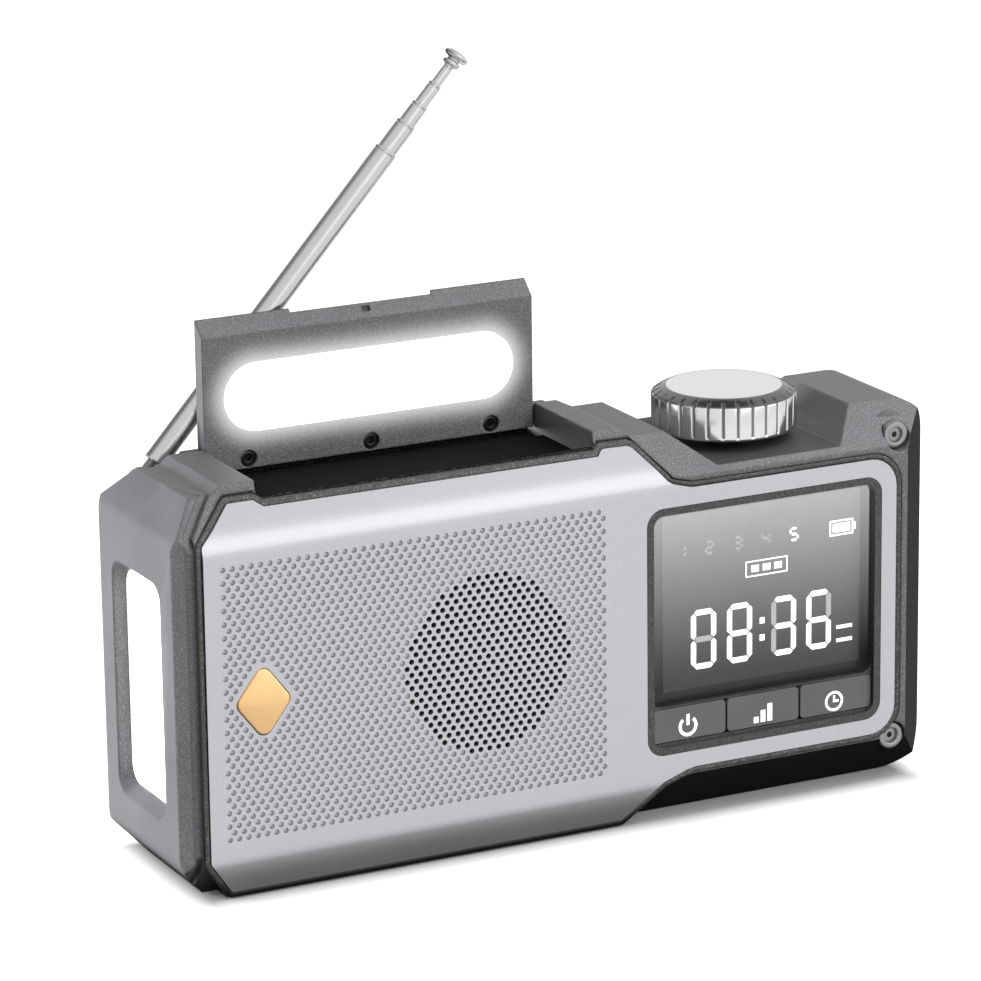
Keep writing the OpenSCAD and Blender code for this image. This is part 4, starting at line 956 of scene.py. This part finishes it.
def build_display():
    softened("display_bezel", (0.3, None), paint="bezel", shortest=0.3, segments=2)
    field = slab("display_field", box_loop(22.7, 28.4, 71.6, 67.6, 0.4), FIELD_Y, -18.9, 0.05)
    CARRIERS["display"] = new_object(
        "display_field", field, "case", "lcd", ["lcd_module"], "lcd")
    mask = slab("display_mask", box_loop(19.2, 24.6, 74.0, 68.8, 2.2), MASK_Y, -18.7, 0.05)
    new_object("display_mask", mask, "case", "lcd", paint="lcd_edge")


def build_keys():
    for node in ("power_button", "band_button", "alarm_button"):
        CARRIERS[node] = softened(node, (0.25, None), paint="keys", shortest=0.2, segments=2)
    pillow = slab("alert_pad", diamond(), YF - 0.45, -19.0, 0.45)
    SHOWN["alert pad"] = new_object(
        "alert_pad", pillow, "alert_key", "amber", ["alert_button"], "amber")


SEGMENTS = {
    "0": "abcdef", "1": "bc", "2": "abged", "3": "abgcd", "4": "fgbc",
    "5": "afgcd", "6": "afgedc", "8": "abcdefg",
}


def segment_loops(x, z, w, h, t):
    """The seven segments of a digit whose lower left corner is (x, z)."""
    k, m, gap = t / 2, h / 2, 0.16

    def bar(x0, z0, x1, z1):
        end = x1 - x0 + z1 - z0 - gap
        shape = ((gap, 0), (gap + k, -k), (end - k, -k), (end, 0), (end - k, k), (gap + k, k))
        return [(x + x0 - o, z + z0 + s) if x0 == x1 else (x + x0 + s, z + z0 + o)
                for s, o in shape]

    return {
        "a": bar(k, h - k, w - k, h - k), "b": bar(w - k, m, w - k, h - k),
        "c": bar(w - k, k, w - k, m), "d": bar(k, k, w - k, k),
        "e": bar(k, k, k, m), "f": bar(k, m, k, h - k), "g": bar(k, m, w - k, m),
    }


def ring_loops(cx, cz, r, t, a0, a1, n):
    """A ring sector of width t as quads."""
    near, far = (arc(cx, cz, q, a0, a1, n) for q in (r - t / 2, r + t / 2))
    return [[near[k], far[k], far[k + 1], near[k + 1]] for k in range(n)]


def frame_loops(x0, z0, x1, z1, t):
    return [rect(x0, z0, x1, z0 + t), rect(x0, z1 - t, x1, z1),
            rect(x0, z0 + t, x0 + t, z1 - t), rect(x1 - t, z0 + t, x1, z1 - t)]


def moved(loops, p):
    return [[(x + p.x, z + p.z) for x, z in loop] for loop in loops]


def flat_marks(name, loops, y, thick, body, slot, paint):
    """Outlines as one thin printed piece."""
    meshes = [prism("mark", *([(x, d, z) for x, z in loop] for d in (y, y + thick)))
              for loop in loops]
    return new_object(name, join_meshes(name, meshes), body, slot, paint=paint)


def build_marks():
    """Generic marks: a time, numbered bands, a battery, a frame; icons on the keys."""
    field = CARRIERS["display"]
    lit, dim = [], []
    a, b = place("first digit", field), place("last digit", field)
    w, h = 6.2, 13.35
    z = (a.z + b.z - h) / 2
    for share, digit in ((0.0, "0"), (0.31, "8"), (0.693, "3"), (1.0, "6")):
        x = a.x + (b.x - a.x) * share - w / 2
        for key, loop in segment_loops(x, z, w, h, 1.25).items():
            (lit if key in SEGMENTS[digit] else dim).append(loop)
    x = a.x + (b.x - a.x) * 0.506
    lit += [rect(x - 0.6, z + h * k - 0.7, x + 0.6, z + h * k + 0.7) for k in (0.355, 0.645)]
    a, b = place("first band number", field), place("last band number", field)
    for k, digit in enumerate("12345"):
        q = a.lerp(b, k / 4)
        loops = segment_loops(q.x - 1.2, q.z - 1.6, 2.4, 3.2, 0.62)
        (lit if k == 4 else dim).extend(loops[key] for key in SEGMENTS[digit])
    around_point = {
        "battery mark": frame_loops(-3.3, -1.75, 2.7, 1.75, 0.4)
        + [rect(2.7, -0.8, 3.3, 0.8), rect(-2.5, -1.0, 1.9, 1.0)],
        "framed mark": frame_loops(-5.2, -1.8, 5.2, 1.8, 0.3)
        + [rect(k, -0.75, k + 1.9, 0.75) for k in (-3.8, -0.95, 1.9)],
        "unit marks": [rect(-2.0, k, 2.0, k + 0.8) for k in (-1.9, 1.1)],
    }
    for name, loops in around_point.items():
        lit += moved(loops, place(name, field))
    SHOWN["display"] = flat_marks("display_marks", lit, MARKS_Y, 0.06, "case", "lcd", "segment")
    flat_marks("display_marks_dim", dim, MARKS_Y, 0.06, "case", "lcd", "ghost")
    icons = {
        "power": ring_loops(0, -0.2, 1.95, 0.75, 130, 410, 24) + [rect(-0.38, 0, 0.38, 2.5)],
        "band": [rect(-2.3 + 1.7 * k, -2.0, -1.1 + 1.7 * k, -0.6 + 1.3 * k) for k in range(3)],
        "alarm": ring_loops(0, 0, 2.0, 0.6, 0, 360, 28)
        + [rect(-0.25, -0.2, 0.25, 1.3), rect(-0.25, -0.25, 1.2, 0.25)],
    }
    for key, loops in icons.items():
        loops = moved(loops, place(key + " mark", CARRIERS[key + "_button"]))
        SHOWN[key + " mark"] = flat_marks(
            key + "_mark", loops, KEY_MARKS_Y, 0.08, key + "_key", "key_plastic", "icon")


# ---------- lid ----------

def build_lid():
    softened("lid_frame", (0.35, None), paint="lid", shortest=1.0)
    SHOWN["lamp lens"] = NODES["lamp_lens"]
    build_lid_screws()
    softened("lid_tray", (0.3, None), paint="tray", shortest=1.0)


def build_lid_screws():
    """Round heads with a socket, one in the place of each of the part's lid screws."""
    src = NODES["lid_screws"]
    co = np.array([tuple(src.matrix_world @ v.co / MM) for v in src.data.vertices])
    co = co[co[:, 0].argsort()]
    meshes = []
    for g in np.split(co, np.flatnonzero(np.diff(co[:, 0]) > 6) + 1):
        low, high = g.min(0), g.max(0)
        x, _, z = (low + high) / 2
        r, tall = (high[0] - low[0]) / 2, high[1] - low[1]
        profile = [(0, 0.7), (r * 0.4, 0.7), (r * 0.44, 0.1), (r * 0.62, 0.0),
                   (r * 0.85, 0.08), (r, 0.3), (r, tall), (0, tall)]
        meshes.append(lathe("lid_screw", profile, (x, low[1], z), (0, 1, 0), 40))
    me = join_meshes("lid_screw_heads", meshes, 35)
    new_object("lid_screw_heads", me, "lid", "screw_black", ["lid_screws"], "black_steel")


# ---------- knob ----------

def build_knob():
    """Turned knob with narrow flutes that end in small notches on the bevel."""
    flutes, per = 30, 16
    count = flutes * per
    reach, deep = 0.42, 0.4
    # (inset from the radius, height, whether the flutes cut it)
    profile = [(1.5, 0.0, 0), (0.25, 0.0, 0), (0, 0.25, 0), (0, 0.7, 0), (0, 1.0, 1), (0, 7.2, 1),
               (0.12, 7.45, 1), (0.9, 8.0, 1), (1.5, 8.35, 1), (1.75, 8.5, 0), (2.6, 8.9, 0),
               (2.9, 9.0, 0), (3.2, 9.0, 0)]
    verts = []
    for inset, h, cut in profile:
        for k in range(count):
            phase = (k % per) / per
            d = min(phase, 1 - phase) * 2 * math.pi * KNOB_R / flutes
            r = KNOB_R - inset - cut * max(0.0, 1 - (d / reach) ** 2) * deep
            a = 2 * math.pi * k / count
            verts.append(Vector((KNOB_X + r * math.cos(a), r * math.sin(a), KNOB_Z + h)) * MM)
    me = mesh_of("knob_body", verts, ring_faces(len(profile), count), 55)
    new_object("knob_body", me, "knob", "knob_metal", ["tuning_knob"], "knob")
    r = KNOB_R - 3.2
    top = [(0, 8.86), (r * 0.5, 8.87), (r * 0.85, 8.91), (r - 0.15, 8.95), (r, 9.0), (r, 8.0),
           (0, 8.0)]
    me = lathe("knob_cap", top, (KNOB_X, 0, KNOB_Z), (0, 0, 1), 96)
    SHOWN["knob cap"] = new_object("knob_cap", me, "knob", "knob_metal", ["knob_disc"], "knob_top")


# ---------- antenna ----------

NECK = 5.2  # from the cross pin to the start of the outer tube


def tang_mesh():
    """The flat tang that carries the outer tube on its cross pin, as in the tube's CAD node."""
    side = Vector((math.sin(LEAN_ANT), 0, -math.cos(LEAN_ANT)))
    across = Vector((0, 1, 0))
    loop = [(-1.3, NECK + 0.3), (1.3, NECK + 0.3), (1.3, 1.0)]
    loop += [(1.65 * math.cos(a), 1.65 * math.sin(a))
             for a in np.linspace(0.4, -math.pi - 0.4, 16)]
    loop += [(-1.3, 1.0)]
    return prism("tang", *([ANT + side * s + across * u + ANT_DIR * v for u, v in loop]
                           for s in (-1.15, 1.15)))


def build_antenna():
    # radius, length, and how far each section shows past the one before it
    sections = ((2.5, 82.0, 82.0), (2.15, 79.0, 7.2), (1.8, 76.0, 5.0),
                (1.45, 73.0, 5.5), (1.1, 70.0, 5.0))
    end = NECK
    for i, (r, length, shows) in enumerate(sections, 1):
        end += shows
        start, bore = end - length, max(r - 0.35, 0.3)
        profile = [(0, start), (r - 0.3, start), (r, start + 0.3), (r, end - 0.9),
                   (r - 0.12, end - 0.75), (r - 0.12, end - 0.6), (r, end - 0.45), (r, end - 0.15),
                   (r - 0.15, end), (bore, end), (bore, end - 1.5), (0, end - 1.5)]
        name = f"mast_{i}_tube"
        me = lathe(name, profile, ANT, ANT_DIR, 48)
        if i == 1:
            me = join_meshes(name, [me, tang_mesh()], 35)
        node = f"antenna_tube_{i}" if i < 5 else "antenna_rod"
        new_object(name, me, f"mast_{i}", "chrome", [node], "chrome")
    tip = [(0, 0), (1.5, 0), (1.85, 0.2), (1.9, 0.5), (1.85, 0.85), (1.45, 1.1), (1.35, 1.35),
           (1.5, 1.6), (2.42, 1.85), (2.71, 2.15), (2.76, 2.4), (2.62, 2.7), (2.2, 2.95),
           (1.4, 3.2), (0, 3.35)]
    me = lathe("mast_tip", [(r, end + h) for r, h in tip], ANT, ANT_DIR, 64, 60)
    SHOWN["antenna tip"] = new_object(
        "mast_tip", me, "mast_5", "chrome", ["antenna_tip"], "chrome")


# ---------- screws and back ----------

def build_screws():
    profile = [(0, 2.6), (0.62, 2.6), (0.66, 0.9), (1.5, 0.9), (1.6, 0.35), (1.75, 0.12),
               (2.0, 0.0), (2.6, 0.0), (2.85, 0.12), (3.0, 0.4), (3.0, 2.0), (1.4, 2.0),
               (1.4, 8.0), (0, 8.0)]
    me = join_meshes("corner_screw_heads",
                     [lathe("screw", profile, at, (0, 1, 0), 48) for at in SCREWS], 35)
    new_object("corner_screw_heads", me, "case", "screw_steel", ["corner_screws"], "screw")


def build_back():
    softened("battery_door", (0.3, None), paint="case", shortest=0.8)
    softened("port_cover", (0.3, None), paint="rubber", shortest=0.6)


for name, nodes in PAINTED.items():
    for node in nodes:
        paint_node(node, name)
for build in (build_case, build_panel, build_seal, build_display, build_keys, build_marks,
              build_lid, build_knob, build_antenna, build_screws, build_back):
    build()


# ---------- stage, lights and camera ----------

DIFFUSE_WORLD, MIRROR_WORLD, MIRROR_DARK = 0.45, 0.95, 0.15
BACK_LEFT = (-0.8, 0.6, 0.0)  # the direction that mirrors show darker
FOOT_X, FOOT_Y = 0.083, 0.019  # half the footprint that the floor's shadow starts from


def build_stage():
    """A floor that is white to the camera but for a soft shadow, and pale to mirrors."""
    me = bpy.data.meshes.new("floor")
    w = 12.0
    me.from_pydata([(-w, -w, 0), (w, -w, 0), (w, w, 0), (-w, w, 0)], [], [(0, 1, 2, 3)])
    floor = bpy.data.objects.new("floor", me)
    bpy.context.scene.collection.objects.link(floor)
    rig.stage(floor)
    s = Shade("floor")
    ray = s.add("LightPath").outputs
    camera_ray = ray["Is Camera Ray"]
    mirror_ray = s.math("MAXIMUM", ray["Is Glossy Ray"], ray["Is Transmission Ray"])
    # distance from the radio's footprint
    x, y, _ = s.xyz()
    dx, dy = s.beyond(x, FOOT_X), s.beyond(y, FOOT_Y)
    # the soft shadow reaches a centimetre to the front and hardly to the sides and back
    behind = s.times(s.math("MAXIMUM", s.minus(y, 0.020), 0.0), 1.6)
    tight = s.length(s.times(dx, 1.6), s.plus(dy, behind))
    seen = s.math("POWER", s.smooth(tight, -0.001, 0.0125), 0.75)
    # to mirrors the studio ends behind the radio and at its back left, which gives turned
    # metal its dark edges
    # to mirrors the floor is also dark close round the footprint: a painted shadow that the low bevels reflect
    mirrored = s.smooth(s.length(dx, dy), 0.007, 0.017, 0.03, 0.95)
    mirrored = s.times(mirrored, s.smooth(y, 0.2, 0.3, 1.0, 0.04))
    left = s.plus(s.times(x, BACK_LEFT[0]), s.times(y, BACK_LEFT[1]))
    mirrored = s.times(mirrored, s.smooth(left, 0.22, 0.3, 1.0, 0.25))
    s.surface(
        Base_Color=s.mix(camera_ray, (0.06, 0.06, 0.06), (0.3, 0.3, 0.3)), Roughness=0.9,
        Specular_IOR_Level=0.0, Emission_Color=WHITE,
        Emission_Strength=s.plus(s.times(camera_ray, seen), s.times(mirror_ray, mirrored)))
    me.materials.append(s.m)


def build_world():
    """White to the camera; to mirrors, darker at the back left and with a gap overhead."""
    world = bpy.data.worlds.new("studio")
    bpy.context.scene.world = world
    world.use_nodes = True
    n = Nodes(world.node_tree)
    ray = n.add("LightPath").outputs
    way = n.add("TexCoord").outputs["Generated"]

    def toward(axis):
        return n.add("VectorMath", {0: way, 1: axis}, operation="DOT_PRODUCT").outputs["Value"]

    def choose(kind, a, b):
        mix = n.add("Mix", {"Factor": ray[kind], "A": a, "B": b}, data_type="FLOAT")
        return mix.outputs[0]

    dark = n.smooth(toward(BACK_LEFT), 0.5, 0.85, MIRROR_WORLD, MIRROR_DARK)
    gap = n.smooth(toward((0.05, 0.15, 0.987)), 0.9, 0.965, 1.0, 0.25)
    level = choose("Is Glossy Ray", DIFFUSE_WORLD, n.times(dark, gap))
    level = choose("Is Transmission Ray", level, 1.0)
    level = choose("Is Camera Ray", level, 1.0)
    n.put(n.t.nodes["Background"], "Color", WHITE)
    n.put(n.t.nodes["Background"], "Strength", level)


def area(name, at, aim, size, power, glossy=False):
    data = bpy.data.lights.new(name, "AREA")
    data.energy = power
    data.shape = "RECTANGLE"
    data.size, data.size_y = size
    ob = bpy.data.objects.new(name, data)
    bpy.context.scene.collection.objects.link(ob)
    ob.location = at
    ob.rotation_euler = (Vector(aim) - Vector(at)).to_track_quat("-Z", "Y").to_euler()
    ob.visible_glossy = glossy


def build_lights():
    """Soft boxes: a low one at the back left, two at the front right, a broad one above."""
    area("left box", (-0.52, 0.38, 0.08), (-0.09, 0, 0.045), (0.4, 0.15), 17.0)
    area("front strip", (0.42, -0.82, 0.55), (0, 0, 0.04), (1.5, 0.7), 2.4, glossy=True)
    area("front fill", (0.30, -0.85, 0.60), (0, 0, 0.04), (1.0, 0.5), 7.5)
    area("top box", (0.35, -0.25, 0.95), (0, 0, 0.04), (0.8, 0.5), 8.0)


def build_camera():
    data = bpy.data.cameras.new("camera")
    data.sensor_fit = "AUTO"
    data.sensor_width = SENSOR
    data.lens = LENS
    data.shift_x, data.shift_y = SHIFT
    data.clip_start, data.clip_end = 0.05, 50
    cam = bpy.data.objects.new("camera", data)
    bpy.context.scene.collection.objects.link(cam)
    turn = Matrix((CAM_RIGHT, CAM_UP, CAM_BACK)).transposed().to_4x4()
    cam.matrix_world = Matrix.Translation(CAM_AT) @ turn
    bpy.context.scene.camera = cam


build_stage()
build_world()
build_lights()
build_camera()
bpy.context.scene.view_settings.view_transform = "Standard"


# ---------- how far each thing shows from its point ----------

def in_image(places):
    """Where places in metres fall in the photograph's frame, as rows of x and y."""
    v = np.array([tuple(p) for p in places]).reshape(-1, 3) - np.array(CAM_AT)
    size = max(W, H)
    k = size * LENS / SENSOR / -(v @ np.array(CAM_BACK))
    return np.stack((W / 2 - SHIFT[0] * size + (v @ np.array(CAM_RIGHT)) * k,
                     H / 2 + SHIFT[1] * size - (v @ np.array(CAM_UP)) * k), 1)


def finished(ob, deps):
    """The places of an object's finished vertices, in metres."""
    ev = ob.evaluated_get(deps)
    return [ev.matrix_world @ v.co for v in ev.data.vertices]


def in_view(places, deps):
    """Those of the places that nothing opaque hides."""
    short, past = 0.0006, 0.00005  # a ray stops short of its place, and starts past the window
    out = []
    for p in places:
        start, way = CAM_AT.copy(), (p - CAM_AT).normalized()
        for _ in range(4):
            left = (p - start).length - short
            hit, at, _, _, other, _ = bpy.context.scene.ray_cast(deps, start, way, distance=left)
            if not hit or other.name != NODES["display_window"].name:
                break
            start = at + way * past
        if not hit:
            out.append(p)
    return out


def measure():
    """How far each thing shows from its point, in pixels: right and down count as more."""
    bpy.context.view_layer.update()
    deps = bpy.context.evaluated_depsgraph_get()
    seen = np.concatenate([in_image(finished(ob, deps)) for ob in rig.pieces()])
    (left, top), (right, bottom) = seen.min(0), seen.max(0)
    out = {name: round(float(now) - at, 1)
           for (name, at), now in zip(SIDES.items(), (left, right, top, bottom))}
    for name in ("antenna tip", "lamp lens", "knob cap", "alert pad",
                 "power mark", "band mark", "alarm mark", *ON_DISPLAY):
        places = finished(SHOWN.get(name, SHOWN["display"]), deps)
        if name in ON_DISPLAY:
            x0, x1, z0, z1 = ON_DISPLAY[name]
            places = [p for p in places if x0 < p.x / MM < x1 and z0 < p.z / MM < z1]
        seen = in_image(in_view(places, deps))
        if len(seen):
            mid = (seen.min(0) + seen.max(0)) / 2
            out[name] = [round(float(mid[i]) - POINTS[name][i], 1) for i in (0, 1)]
        else:
            out[name] = "nothing of it shows"
    return out


try:
    points = measure()
except Exception as why:
    points = {"not measured": str(why)}
json.dump(points, open("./points.json", "w"), indent=1)

vis_low, vis_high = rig.bounds()
json.dump({"cad": [list(cad_low), list(cad_high)], "visual": [list(vis_low), list(vis_high)]},
          open("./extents.json", "w"))
